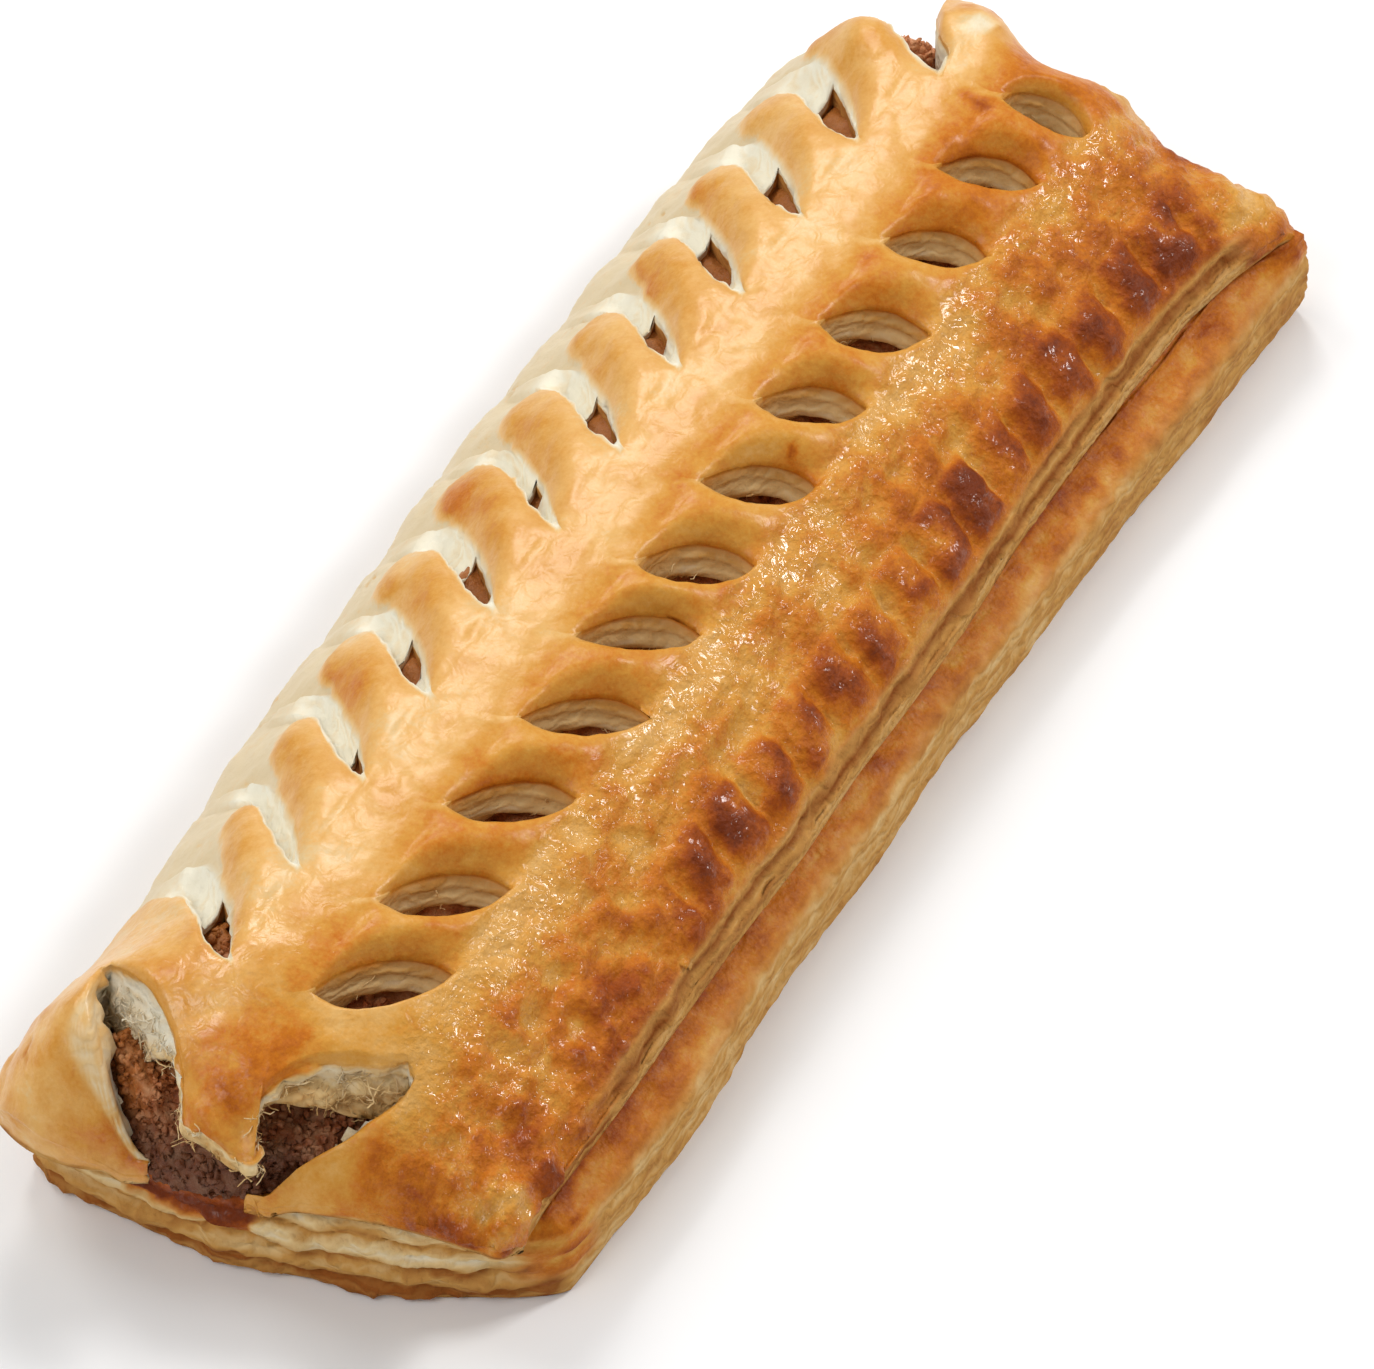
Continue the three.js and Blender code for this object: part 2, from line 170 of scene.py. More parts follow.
# tongue at the near end: its two sides and the rims that face them, by share across the roll
nearEnd = {
    "tongue": [(1, -73.4, 25.4), (0.85, -72.9, 22.4), (0.76, -73.1, 20.4), (0.68, -73.9, 18.5),
               (0.6, -74.6, 15.7), (0.5, -76.1, 12.1), (0.41, -78.3, 9), (0.32, -81.2, 6.3),
               (0.22, -84.2, 4.4),
               (0.08, -84.8, 0.4), (-0.02, -84.6, -2.3), (-0.06, -84.3, -3.2), (-0.1, -83.5, -3),
               (-0.16, -82, -1.6), (-0.22, -80.2, -1.5), (-0.28, -76, -3.4), (-0.35, -72.9, -6.6),
               (-0.42, -71, -9.6), (-0.5, -69, -12), (-0.7, -68.2, -17.6), (-1, -69.6, -26.7)],
    "rim": [(1, -74.3, 25.5), (0.85, -73.9, 22.6), (0.76, -74.1, 20.8), (0.68, -74.9, 18.9),
            (0.6, -78, 17.8), (0.5, -81.4, 14.9), (0.41, -83.6, 12), (0.36, -84.1, 10.3), (0.32, -84, 8.9),
            (-0.12, -83.2, -2.6), (-0.18, -82, -4.6), (-0.24, -79.6, -6.6), (-0.3, -77.2, -8.6),
            (-0.36, -74.7, -10.3), (-0.42, -72.4, -11.7), (-0.5, -69.8, -12.8), (-0.7, -69, -17.7),
            (-1, -70.4, -26.7)],
    "edge": [(1, -83.8, 26.2), (0.9, -86.3, 24.6), (0.8, -87.7, 21.8), (0.68, -88.3, 18.4),
             (0.56, -87.8, 14.6), (0.46, -86.7, 11.8), (0.38, -85.7, 9.8), (0.32, -85, 8.6),
             (-0.12, -83.5, -1.2), (-0.18, -83, -3.1), (-0.24, -82.4, -5), (-0.3, -81.6, -7.9),
             (-0.36, -80.9, -10), (-0.44, -80.2, -12.2), (-0.52, -79.5, -14.6), (-0.7, -78.5, -20),
             (-0.85, -78, -24), (-0.94, -77.1, -26.2), (-1, -75.2, -27)],
    "slit": (-0.48, 0.68),              # shares between which the two large slits are open
    "mouth": (-0.12, 0.32),             # shares between which the sheet is missing in front of the tongue
    "tipX": -84.6,
    "rootX": -62.0,
    "tipHeight": 22.9,
    "tongueThickness": 1.9,
    "wallSlope": (3.2, 2.2),            # how far the torn walls run out under the tongue, left and right
}


def tongueTop(x, y, middleY, halfWidth):
    s = clamp01((x - nearEnd["tipX"]) / (nearEnd["rootX"] - nearEnd["tipX"]))
    rise = 1 - (1 - s) ** 1.7
    b = clamp01(np.abs(y - middleY) / halfWidth)
    low = nearEnd["tipHeight"]
    return low + (domeHeight(x, y) - low) * rise - 1.6 * b ** 2.4 * (1 - s)


# heights of the upper sheet's two ends, and how far in from them it comes up to the dome
sheetEnds = {
    "near": 13.2, "nearPuff": 1.4, "nearReach": 19,
    "far": 11.9, "farLobe": 12.4, "farHump": 6.0, "farReach": 13,
    "lowest": 12.5,
    # puffed and sunk places: X, Y, reach along X, reach along Y, height
    "puffs": [(-80.5, 19, 8, 8, 4.6), (-75, -22, 5, 4, 1.6), (-73.6, -25.4, 2.8, 2.2, 1.0),
              (79, -24, 5, 5, 1.1), (71.5, 17.5, 5.5, 5, 2.4), (-84.8, 8.4, 3, 3, -4.6),
              (-83.6, -1.6, 2.6, 3, -2.6)],
}


def sheetTop(x, y, onTongue):
    # height of the upper sheet without strips: the dome brought down at both ends, with puffed corners
    near = sheetEnds["near"] + sheetEnds["nearPuff"] * bell(y, 20, 7)
    lobe = bell(np.minimum(y, 8.5), 8, 7) * (1 - smooth(12, 15, y))
    far = sheetEnds["far"] + sheetEnds["farLobe"] * lobe + sheetEnds["farHump"] * bell(y, -7, 6)
    plain = near + (domeHeight(x, y) - near) * endRise(x - nearLidX(y), sheetEnds["nearReach"])
    middleY = lerp(0.5, 4.5, clamp01((x + 85) / 20))
    halfWidth = lerp(4.5, 14, clamp01((x + 85) / 18))
    tongue = np.maximum(plain, tongueTop(x, y, middleY, halfWidth))
    atNear = lerp(plain, tongue, onTongue)
    farReach = sheetEnds["farReach"] - 5 * bell(y, 7, 6)
    height = far + (atNear - far) * endRise(farLidX(y) - x, farReach)
    return np.maximum(height + spots(x, y, sheetEnds["puffs"]), sheetEnds["lowest"])


# room under the upper sheet, where the filling lies
room = {"floor": 5.4, "rim": 10.2, "roof": 21.4, "right": 19.0, "left": 19.5, "nearX": -78.5, "farX": 79.0,
        "mouthY": 2.2, "mouthWidth": 7.0, "mouthReach": 10.0}


def roomRoof(x, y, margin=0.0, reach=None):
    w = y - rollForm["ridgeY"]
    half = np.where(w > 0, room["left"], room["right"]) - margin
    b = np.abs(w) / half
    reach = room["mouthReach"] if reach is None else reach
    near = room["nearX"] - reach * bell(y, room["mouthY"], room["mouthWidth"]) + margin
    arch = clamp01(1 - clamp01(b) ** 2.4) ** 0.6
    ramp = 0.62 + 0.38 * smooth(0, 17, x - near)
    side = rollForm["seamHeight"] + 0.4
    top = side + (room["roof"] - side) * arch * ramp - margin
    inside = (b < 1) & (x > near) & (x < room["farX"] - margin)
    return np.where(inside, top, rollForm["seamHeight"] + rollForm["sheetGap"])


# closed skin round a lattice of cells
def latticeSkin(solid, coarse=0):
    _, nj, nk = solid.shape

    def vertexId(i, j, k):
        return (i * (nj + 1) + j) * (nk + 1) + k

    padded = np.pad(solid, 1)
    faces = []
    corners = {
        (0, -1): [(0, 0, 0), (0, 0, 1), (0, 1, 1), (0, 1, 0)],
        (0, 1): [(1, 0, 0), (1, 1, 0), (1, 1, 1), (1, 0, 1)],
        (1, -1): [(0, 0, 0), (1, 0, 0), (1, 0, 1), (0, 0, 1)],
        (1, 1): [(0, 1, 0), (0, 1, 1), (1, 1, 1), (1, 1, 0)],
        (2, -1): [(0, 0, 0), (0, 1, 0), (1, 1, 0), (1, 0, 0)],
        (2, 1): [(0, 0, 1), (1, 0, 1), (1, 1, 1), (0, 1, 1)],
    }
    for (axis, side), offsets in corners.items():
        if coarse and (axis, side) == (2, -1):
            continue
        shifted = np.roll(padded, -side, axis=axis)[1:-1, 1:-1, 1:-1]
        i, j, k = np.nonzero(solid & ~shifted)
        faces.append(np.stack([vertexId(i + a, j + b, k + c) for a, b, c in offsets], axis=-1))
    quads = np.concatenate(faces).tolist()
    if coarse:
        quads += underside(solid[:, :, 0], coarse, lambda i, j: vertexId(i, j, 0))
    return quads


def underside(cells, block, vertexId):
    # the hidden lower skin in large faces that keep every corner of their finer neighbours
    ni, nj = cells.shape
    bi, bj = -(-ni // block), -(-nj // block)
    big = np.zeros((bi + 2, bj + 2), bool)
    for a in range(bi):
        for b in range(bj):
            part = cells[a * block:(a + 1) * block, b * block:(b + 1) * block]
            big[a + 1, b + 1] = part.all()
    faces = []
    for a in range(bi):
        for b in range(bj):
            i0, i1 = a * block, min(ni, (a + 1) * block)
            j0, j1 = b * block, min(nj, (b + 1) * block)
            if not big[a + 1, b + 1]:
                for i in range(i0, i1):
                    for j in range(j0, j1):
                        if cells[i, j]:
                            faces.append([vertexId(i, j), vertexId(i, j + 1),
                                          vertexId(i + 1, j + 1), vertexId(i + 1, j)])
                continue
            loop = [(i0, j0)]
            if not big[a, b + 1]:
                loop += [(i0, j) for j in range(j0 + 1, j1)]
            loop.append((i0, j1))
            if not big[a + 1, b + 2]:
                loop += [(i, j1) for i in range(i0 + 1, i1)]
            loop.append((i1, j1))
            if not big[a + 2, b + 1]:
                loop += [(i1, j) for j in range(j1 - 1, j0, -1)]
            loop.append((i1, j0))
            if not big[a + 1, b]:
                loop += [(i, j0) for i in range(i1 - 1, i0, -1)]
            faces.append([vertexId(i, j) for i, j in loop])
    return faces


def skinNormals(points, faces):
    normals = np.zeros_like(points)
    quads = np.array([f for f in faces if len(f) == 4])
    across = np.cross(points[quads[:, 2]] - points[quads[:, 0]], points[quads[:, 3]] - points[quads[:, 1]])
    for corner in range(4):
        np.add.at(normals, quads[:, corner], across)
    return normals / (np.linalg.norm(normals, axis=1, keepdims=True) + 1e-12)


def keepUsed(points, faces, *layers):
    used = np.zeros(len(points), bool)
    used[np.concatenate([np.array(f) for f in faces])] = True
    order = np.cumsum(used) - 1
    faces = [order[f].tolist() for f in map(np.array, faces)]
    return (points[used], faces) + tuple(layer[used] for layer in layers)


def makePiece(name, points, faces, masks):
    # a mesh piece at the origin, in metres in the part's frame, with its masks as point attributes
    shift = np.array([rollForm["shift"][0], rollForm["shift"][1], 0])
    mesh = bpy.data.meshes.new(name)
    mesh.from_pydata(((points + shift) * mm).tolist(), [], faces)
    for key, values in masks.items():
        layer = mesh.attributes.new(key, "FLOAT", "POINT")
        layer.data.foreach_set("value", np.ascontiguousarray(clamp01(values), np.float32))
    mesh.polygons.foreach_set("use_smooth", [True] * len(mesh.polygons))
    mesh.update()
    piece = bpy.data.objects.new(name, mesh)
    bpy.context.scene.collection.objects.link(piece)
    return piece


# upper sheet: a lattice of cells whose columns follow the chevrons; slits are cells left out
lid = {
    "rowStep": 0.48,
    "layers": 12,
    "layerCurve": 1.5,                  # cells get thinner towards the crust
    "slitPitch": 12.6,
    "slitCount": 11,
    "firstSlitX": -69.7,
    "rightSlope": 0.94,
    "leftSlope": 0.9,
    "rightSlit": (0.158, 0.462),        # inner and outer end, as shares across the roll
    "leftSlit": (0.165, 0.74),
    "farBow": 4.3,                      # how far the far edge of a right slit bows out along the roll
    "nearBows": [3.5, 3.2, 3.1, 2.6, 2.2, 3.1, 2.8, 2.6, 3.4, 2.3, 1.7, 1.3],
    "rightShifts": [-0.4, -0.5, 0.5, 0.6, 0.5, -1.0, -0.9, -0.9, -0.8, 0.1, 0.1, 0.0],
    "rightLean": (1.2, 0.05),           # slant of the first right slit, and how much less each next one
    # last left slit, open to the end of the roll: near and far edge as (share, X)
    "lastLeftNear": [(0.06, 69.0), (0.1, 69.3), (0.2, 70.2), (0.39, 73.2), (0.55, 76.2), (0.75, 80.0)],
    "lastLeftFar": [(0.05, 70.6), (0.1, 72.6), (0.2, 75.0), (0.3, 78.6), (0.36, 83.5), (1.0, 84.0)],
    "stripColumns": 19,
    "slitColumns": 5,
    "tongueColumns": 30,
    "rimColumns": 20,
    "farColumns": 26,
    "farDrop": 2.1,                     # how far a strip rolls down into the slit before it
    "nearDrop": 0.7,
    "swell": 0.8,
    "crustThickness": 3.7,              # what is left above the hollow round the left openings
    # where the left strips end, as shares: at their corners, and how much further
    "tongueEnd": (0.57, 0.15),
    "flankStep": 0.9,
    # dark opening of each left slit: where it starts and ends across the roll, and its width
    "leftOpenings": [(4.3, 11.4, 3.6), (0, 0, 1.4), (4.2, 8.0, 2.0), (8.0, 11.2, 2.3), (5.6, 11.2, 2.8),
                     (9.2, 10.8, 1.3), (4.8, 11.2, 2.4), (8.4, 12, 2.2), (7.2, 13, 2.9), (4.5, 11.4, 3.2),
                     (3.8, 12.4, 4.0)],
}


def rowShares():
    # shares across the roll, -1 at the crimped edge and 1 at the other, evenly spaced over the dome
    sides = []
    for width, (edge, curve, fullness) in ((rollForm["rightWidth"], rollForm["rightDome"]),
                                           (rollForm["leftWidth"], rollForm["leftDome"])):
        u = np.linspace(0, 1, 4000)
        z = edge + (rollForm["ridgeHeight"] - edge) * (1 - u ** curve) ** fullness
        run = np.concatenate([[0], np.cumsum(np.hypot(np.diff(u * width), np.diff(z)))])
        count = int(round(run[-1] / lid["rowStep"]))
        sides.append(np.interp(np.linspace(0, run[-1], count + 1), run, u))
    return np.concatenate([-sides[0][::-1], sides[1][1:]])


def chevronLean(shares):
    right = shares < 0
    w = np.abs(shares) * np.where(right, rollForm["rightWidth"], rollForm["leftWidth"])
    start, end, soft = 3.2, 16.2, 1.4
    climb = 0.5 * (np.sqrt((w - start) ** 2 + soft) - np.sqrt((w - end) ** 2 + soft)) + 0.5 * (end - start)
    return np.where(right, lid["rightSlope"], lid["leftSlope"]) * (climb - 1.6)


def slitShare(shares, k):
    # 0 to 1 along slit k on its own side, outside that range beyond its ends
    right = shares < 0
    inner = np.where(right, lid["rightSlit"][0], lid["leftSlit"][0])
    outer = np.where(right, lid["rightSlit"][1], lid["leftSlit"][1])
    if k == lid["slitCount"]:
        inner = np.where(right, 0.16, 0.08)
        outer = np.where(right, 0.45, 0.68)
    wobble = 0.012 * np.sin(k * 2.3 + 1) * np.where(right, 1, -1)
    return (np.abs(shares) - inner - wobble) / (outer - inner)


def slitOpening(s, right):
    # a lens on the crimped side; on the other it stays wide up to the strips' outer ends
    wedge = clamp01(s / 0.32) ** 0.7 * (1 - 0.5 * smooth(0.8, 1.3, s)) * (1 - smooth(1.5, 1.8, s))
    return np.where(right, lens(s, 1.0), wedge)


def lens(s, skew):
    # a bow between 0 and 1, fullest late for a skew over 1
    t = clamp01(s) ** skew
    return np.where((s > 0) & (s < 1), clamp01(4 * t * (1 - t)), 0) ** 0.62


def slitEdges(shares, k):
    # X of the near and far edge of slit k in each row, and how open it is
    s = slitShare(shares, k)
    right = shares < 0
    open_ = slitOpening(s, right)
    last = k == lid["slitCount"]
    leftWidth = 0.9 * lid["leftOpenings"][min(k, lid["slitCount"] - 1)][2] + 2.5
    near = np.where(right, lid["nearBows"][k] * lens(s, 1.5), 0.45 * leftWidth * open_)
    far = np.where(right, lid["farBow"] * lens(1 - s, 1.4), 0.55 * leftWidth * open_)
    beyond = np.maximum(-s, s - 1)
    rest = 0.2 + 0.75 * smooth(0, 0.5, beyond)
    firstLean, less = lid["rightLean"]
    lean = chevronLean(shares) * np.where(right, 0.3 if last else firstLean - less * k, 1)
    centre = lid["firstSlitX"] + k * lid["slitPitch"] + lean
    centre = centre + lid["rightShifts"][k] * smooth(0, -0.12, shares)
    nearX, farX = centre - np.maximum(rest, near), centre + np.maximum(rest, far)
    if last:
        toOpening = smooth(0.02, 0.07, shares)
        away = [np.array(lid[key]).T for key in ("lastLeftNear", "lastLeftFar")]
        nearX = lerp(nearX, np.interp(shares, *away[0]), toOpening)
        farX = lerp(farX, np.interp(shares, *away[1]), toOpening)
        end = farLidX(rowY(np.full(len(shares), 83.0), shares)) - 2.4 * np.abs(shares) ** 9
        nearX, farX = np.minimum(nearX, end - 2.4), np.minimum(np.maximum(farX, nearX + 0.6), end - 0.9)
    return nearX, farX, open_, s


def rowY(x, shares):
    ridge = rollForm["ridgeY"]
    edge = np.where(shares < 0, rightEdgeY(x), leftEdgeY(x))
    return ridge + np.abs(shares) * (edge - ridge)


def lidLattice():
    shares = rowShares()
    rows = len(shares)
    count = lid["slitCount"]
    lines, opens, alongs = [], [], []
    slitFrom, slitTo = nearEnd["slit"]
    bigSlit = np.where(shares < 0, shares / slitFrom, shares / slitTo)
    bigOpen = clamp01(1 - bigSlit ** 4) ** 0.5
    for key in ("edge", "rim", "tongue"):
        lines.append(through(nearEnd[key], shares))
        opens.append(bigOpen if key != "edge" else np.zeros(rows))
        alongs.append(np.where(np.abs(bigSlit) < 1, np.abs(bigSlit), 2))
    for k in range(count + 1):
        near, far, open_, s = slitEdges(shares, k)
        for x in (near, far):
            lines.append(np.stack([x, rowY(x, shares)], axis=-1))
            opens.append(open_)
            alongs.append(s)
    farY = rowY(np.full(rows, 83.0), shares)
    corner = np.abs(shares) ** 9 * 2.4
    lines.append(np.stack([farLidX(farY) - corner, farY], axis=-1))
    opens.append(np.zeros(rows))
    alongs.append(np.full(rows, 2.0))
    steps = [lid["rimColumns"], lid["slitColumns"], lid["tongueColumns"]]
    steps += [lid["slitColumns"], lid["stripColumns"]] * count + [lid["slitColumns"], lid["farColumns"]]
    plan, kind, across, openHere, openNext, alongHere = [], [], [], [], [], []
    for n, step in enumerate(steps):
        for c in range(step + (1 if n == len(steps) - 1 else 0)):
            t = c / step
            plan.append(lerp(lines[n], lines[n + 1], t))
            kind.append(n)
            across.append(t)
            openHere.append(opens[n])
            openNext.append(opens[n + 1])
            alongHere.append(alongs[n])
    layout = {"shares": shares, "steps": steps, "kind": np.array(kind), "across": np.array(across)}
    layout["plan"] = np.array(plan)
    layout["openHere"] = np.array(openHere)
    layout["openNext"] = np.array(openNext)
    layout["along"] = np.array(alongHere)
    return layout


def lidSolidCells(layout):
    # which cells of the upper sheet are there: all but the slits and the mouth
    shares, kind = layout["shares"], layout["kind"][:-1]
    middle = 0.5 * (shares[:-1] + shares[1:])
    inside = [layout["along"][:, :-1], layout["along"][:, 1:]]
    solid = np.ones((len(kind), len(middle)), bool)
    ridgeHalf = np.where(middle < 0, rollForm["rightWidth"], rollForm["leftWidth"])
    w = np.abs(middle) * ridgeHalf
    for i, n in enumerate(kind):
        if n == 0:
            solid[i] = (middle < nearEnd["mouth"][0]) | (middle > nearEnd["mouth"][1])
        elif n == 1:
            solid[i] = (middle < nearEnd["slit"][0]) | (middle > nearEnd["slit"][1])
        elif n >= 3 and n % 2 == 1:
            k = (n - 3) // 2
            inSlit = (inside[0][i] > 0) & (inside[0][i] < 1) & (inside[1][i] > 0) & (inside[1][i] < 1)
            hole = inSlit & (middle < 0)
            if k == lid["slitCount"]:
                hole = inSlit
            else:
                start, end, _ = lid["leftOpenings"][k]
                hole |= inSlit & (middle > 0) & (w > start) & (w < end) & (layout["across"][i] < 0.79)
            solid[i] = ~hole
        if n == kind.max():
            solid[i] &= (middle < 0.37) | (middle > 0.66)
    return solid


def leftStripEnd(layout):
    # 1 on a left strip's raised crust, 0 on the pale dough beyond its rounded end and between strips
    shares, kind, across = layout["shares"][None, :], layout["kind"][:, None], layout["across"][:, None]
    corner, bow = lid["tongueEnd"]
    strip = (kind >= 2) & (kind % 2 == 0)
    vary = 0.04 * np.sin(kind * 2.7) + 0.06 * smooth(4, 12, kind)
    arc = np.sqrt(clamp01(1 - (2 * across - 1.1) ** 2))
    end = corner + vary + bow * arc
    end = np.where(kind == 2, 1.4, end)
    end = np.where(kind == len(layout["steps"]) - 1, 0.9, end)
    crusted = 1 - smooth(end - 0.03, end + 0.03, shares)
    slit = (kind >= 3) & (kind % 2 == 1)
    s = layout["along"]
    crusted = np.where(slit, 1 - smooth(-0.06, 0.02, s), np.where(strip, crusted, 1.0))
    return np.where(shares > 0, crusted, 1.0)


def lidTopHeights(layout):
    plan = layout["plan"]
    x, y = plan[..., 0], plan[..., 1]
    kind = layout["kind"][:, None]
    across = layout["across"][:, None]
    shares = layout["shares"][None, :]
    right = shares < 0
    here, next_ = layout["openHere"], layout["openNext"]
    beside = smooth(-0.52, -0.4, shares) * (1 - smooth(0.64, 0.78, shares))
    onTongue = np.where(kind >= 2, beside, 0.0) * np.ones_like(x)
    top = sheetTop(x, y, onTongue)
    strip = (kind >= 2) & (kind % 2 == 0)
    beforeLast = kind < len(layout["steps"]) - 1
    farDrop = np.where(kind == 2, 0.9, np.where(right, lid["farDrop"], 1.0))
    reach = np.where(kind == 2, 0.09, np.where(beforeLast, 0.6, 0.2))
    down = farDrop * here ** 0.8 * clamp01(1 - across / reach) ** 2.2
    nearReach = np.where(kind == 2, 0.12, 0.2)
    down = down + lid["nearDrop"] * next_ * clamp01((across - 1 + nearReach) / nearReach) ** 2
    swell = lid["swell"] * np.minimum(here, next_) ** 0.7 * np.sin(np.pi * clamp01(across * 0.85 + 0.12))
    down = down - np.where((kind > 2) & beforeLast, swell, 0)
    rimDown = 2.4 * next_ * clamp01((across - 0.55) / 0.45) ** 2.4
    rimDown = rimDown + 1.5 * clamp01(1 - across / 0.3) ** 2.2
    relief = np.where(strip, down, np.where(kind == 0, rimDown, 0))
    relief = np.where((kind == 1) & (across == 0), 2.4 * here, relief)
    farEdge = 1.4 * clamp01((across - 0.82) / 0.18) ** 2.2
    relief = relief + np.where(beforeLast, 0, farEdge)
    s = layout["along"]
    deep = smooth(0.0, 0.25, s) * (1 - smooth(0.7, 1.05, s))
    groove = 0.4 + 2.5 * deep * smooth(0, 0.25, across) * (1 - smooth(0.55, 1.0, across))
    slit = (kind >= 3) & (kind % 2 == 1)
    slitDown = np.where(right, lerp(lid["nearDrop"], farDrop, across) * here, groove * smooth(-0.05, 0.1, s))
    relief = np.where(slit, slitDown, relief)
    crusted = leftStripEnd(layout)
    flank = lid["flankStep"] * (1 - crusted) * (1 - smooth(0.8, 1.0, np.abs(shares)))
    edgeRoll = 1.1 * smooth(0.93, 1.0, np.abs(shares)) ** 2
    return top - relief - np.where(strip & ~right, flank, 0) - edgeRoll


def lidUndersides(layout, top):
    # the hollow above the meat, thinned round the left openings and under the tongue
    plan, shares = layout["plan"], layout["shares"][None, :]
    kind, across = layout["kind"][:, None], layout["across"][:, None]
    bottom = np.minimum(roomRoof(plan[..., 0], plan[..., 1]), top - 1.4)
    w = shares * rollForm["leftWidth"]
    thin = np.zeros_like(top)
    for k, (start, end, _) in enumerate(lid["leftOpenings"]):
        centre = lid["firstSlitX"] + k * lid["slitPitch"] + chevronLean(layout["shares"])[None, :]
        off = np.abs(plan[..., 0] - centre)
        zone = plateau(w, (start - 3, start - 1), (end + 2, end + 4)) * (1 - smooth(4.5, 6.5, off))
        thin = np.maximum(thin, zone)
    bottom = lerp(bottom, np.maximum(bottom, top - lid["crustThickness"]), thin)
    front = (kind == 2) * (1 - smooth(0.25, 0.5, across))
    inMouth = smooth(-0.36, -0.2, shares) * (1 - smooth(0.36, 0.5, shares))
    bottom = lerp(bottom, np.maximum(bottom, top - nearEnd["tongueThickness"]), front * inMouth)
    return bottom


def slitWall(depth):
    # cut face on the far side of a right slit: crust edge, thin crease, soft roll, then falling back
    crease = -0.4 * bell(depth, 0.5, 0.3) - 0.35 * bell(depth, 1.8, 0.35)
    roll = 0.7 * smooth(0.5, 1.3, depth) + 0.5 * smooth(1.8, 2.8, depth)
    return crease + roll - 3.6 * smooth(3.3, 5.0, depth)


def shapeWalls(points, layout, depth):
    kind, across = layout["kind"], layout["across"]
    right = (layout["shares"] < 0)[:, None]
    lastKind = len(layout["steps"]) - 1
    runLeft, runRight = nearEnd["wallSlope"]
    for i in range(len(kind)):
        n, here, d = kind[i], layout["openHere"][i][:, None], depth[i]
        if n > 2 and (n % 2 == 0 or n == lastKind):
            fade = clamp01(1 - across[i] / 0.4)
            points[i, ..., 0] -= np.where(right, slitWall(d), 0.4 * smooth(0, 1.5, d)) * here ** 0.7 * fade
        elif n > 2 and across[i] == 0:
            points[i, ..., 0] -= 1.2 * smooth(0.3, 4, d) * here
        elif n == 2:
            fade = clamp01(1 - across[i] / 0.3) * here
            ledge = 0.5 * np.sin(d * 2.1)
            onRight = runRight * smooth(0.8, 6, d) + ledge
            onLeft = runLeft * smooth(0.5, 7, d) + 0.3 * ledge
            run = np.where(right, onRight, onLeft)
            points[i, ..., 0] -= 0.75 * run * fade
            points[i, ..., 1] += np.where(right, -0.66, 0.66) * run * fade
        elif n == 1 and across[i] == 0:
            points[i, ..., 0] += (1.3 * smooth(0, 1.6, d) - 2.4 * smooth(2.2, 5, d)) * here


def makeLidPiece():
    layout = lidLattice()
    solid = lidSolidCells(layout)
    plan = layout["plan"]
    top = lidTopHeights(layout)
    ni, nj = top.shape
    layers = lid["layers"]
    bottom = lidUndersides(layout, top)
    v = 1 - (1 - np.linspace(0, 1, layers + 1)) ** lid["layerCurve"]
    depth = (top - bottom)[..., None] * (1 - v)
    points = np.zeros((ni, nj, layers + 1, 3))
    points[..., :2] = plan[..., None, :]
    points[..., 2] = top[..., None] - depth
    shapeWalls(points, layout, depth)
    faces = latticeSkin(np.repeat(solid[..., None], layers, axis=2), coarse=4)
    shape = points.shape[:3]
    grid = {
        "onTop": v, "share": layout["shares"][None, :, None], "kind": layout["kind"][:, None, None],
        "across": layout["across"][:, None, None], "here": layout["openHere"][..., None],
        "next": layout["openNext"][..., None], "crusted": leftStripEnd(layout)[..., None],
    }
    layersOfData = [np.broadcast_to(values, shape).reshape(-1) for values in grid.values()]
    flat, faces, *kept = keepUsed(points.reshape(-1, 3), faces, *layersOfData)
    flat, masks = dressLid(flat, skinNormals(flat, faces), SimpleNamespace(**dict(zip(grid, kept))))
    print("upper sheet:", sum(len(f) - 2 for f in faces), "triangles")
    return makePiece("pastryLid", flat, faces, masks)


# bumps pressed along the crimped side: "share" is their row, from "startX" to "endX"
crimps = {
    "pitch": 7.05, "firstX": -38.6, "share": 0.835, "halfShare": 0.1, "height": 1.35,
    "steepness": 2.3, "slant": 0.8, "startX": (-44, -30), "endX": (70, 75),
}

# where the crimped side changes, in shares from the ridge
sideZones = {"flank": (0.42, 0.6), "lower": (0.56, 0.7), "edge": (0.9, 1.0), "pressed": (0.942, 0.96)}

# relief of the crust: sizes of its lumps, and their heights in millimetres
crustRelief = {
    "blisterSize": 2.8, "blister": 0.13, "roughBlister": 0.24, "singleBlister": 0.6,
    "fineSize": 1.0, "fine": 0.06,
    "wrinkleSize": (3.4, 1.1, 1.1), "wrinkle": 0.17,
    "ripple": 0.12, "edgeWave": 0.35, "crack": 0.35,
    "leafTurns": 290, "pressedLeaf": 0.14, "pressedIn": 0.2,
    "paleSkin": 0.12, "slitFloor": 0.22, "wallLeaf": 0.14, "wallFine": 0.12, "honeycomb": 0.8, "farTear": 0.5,
    "tears": [(83, -9.5, 3, 3.6, 1), (77.5, 5, 3, 2.4, 0.6)],       # torn places at the far end
}

# how dark cut dough is, 0 to 1, in each place where it shows; the tones deep in the near slits and in the
# left holes are painted shade
cutTones = {
    "outerWall": 0.72, "slitWall": 0.36, "slitLip": 0.26, "leftWall": 0.07, "nearEndMost": 0.3,
    "shadedLeftHole": 0.85, "lobeRim": 0.14, "pressed": 0.86, "pressedLeaf": 0.26, "shadeDeepInNearSlits": 0.22,
}
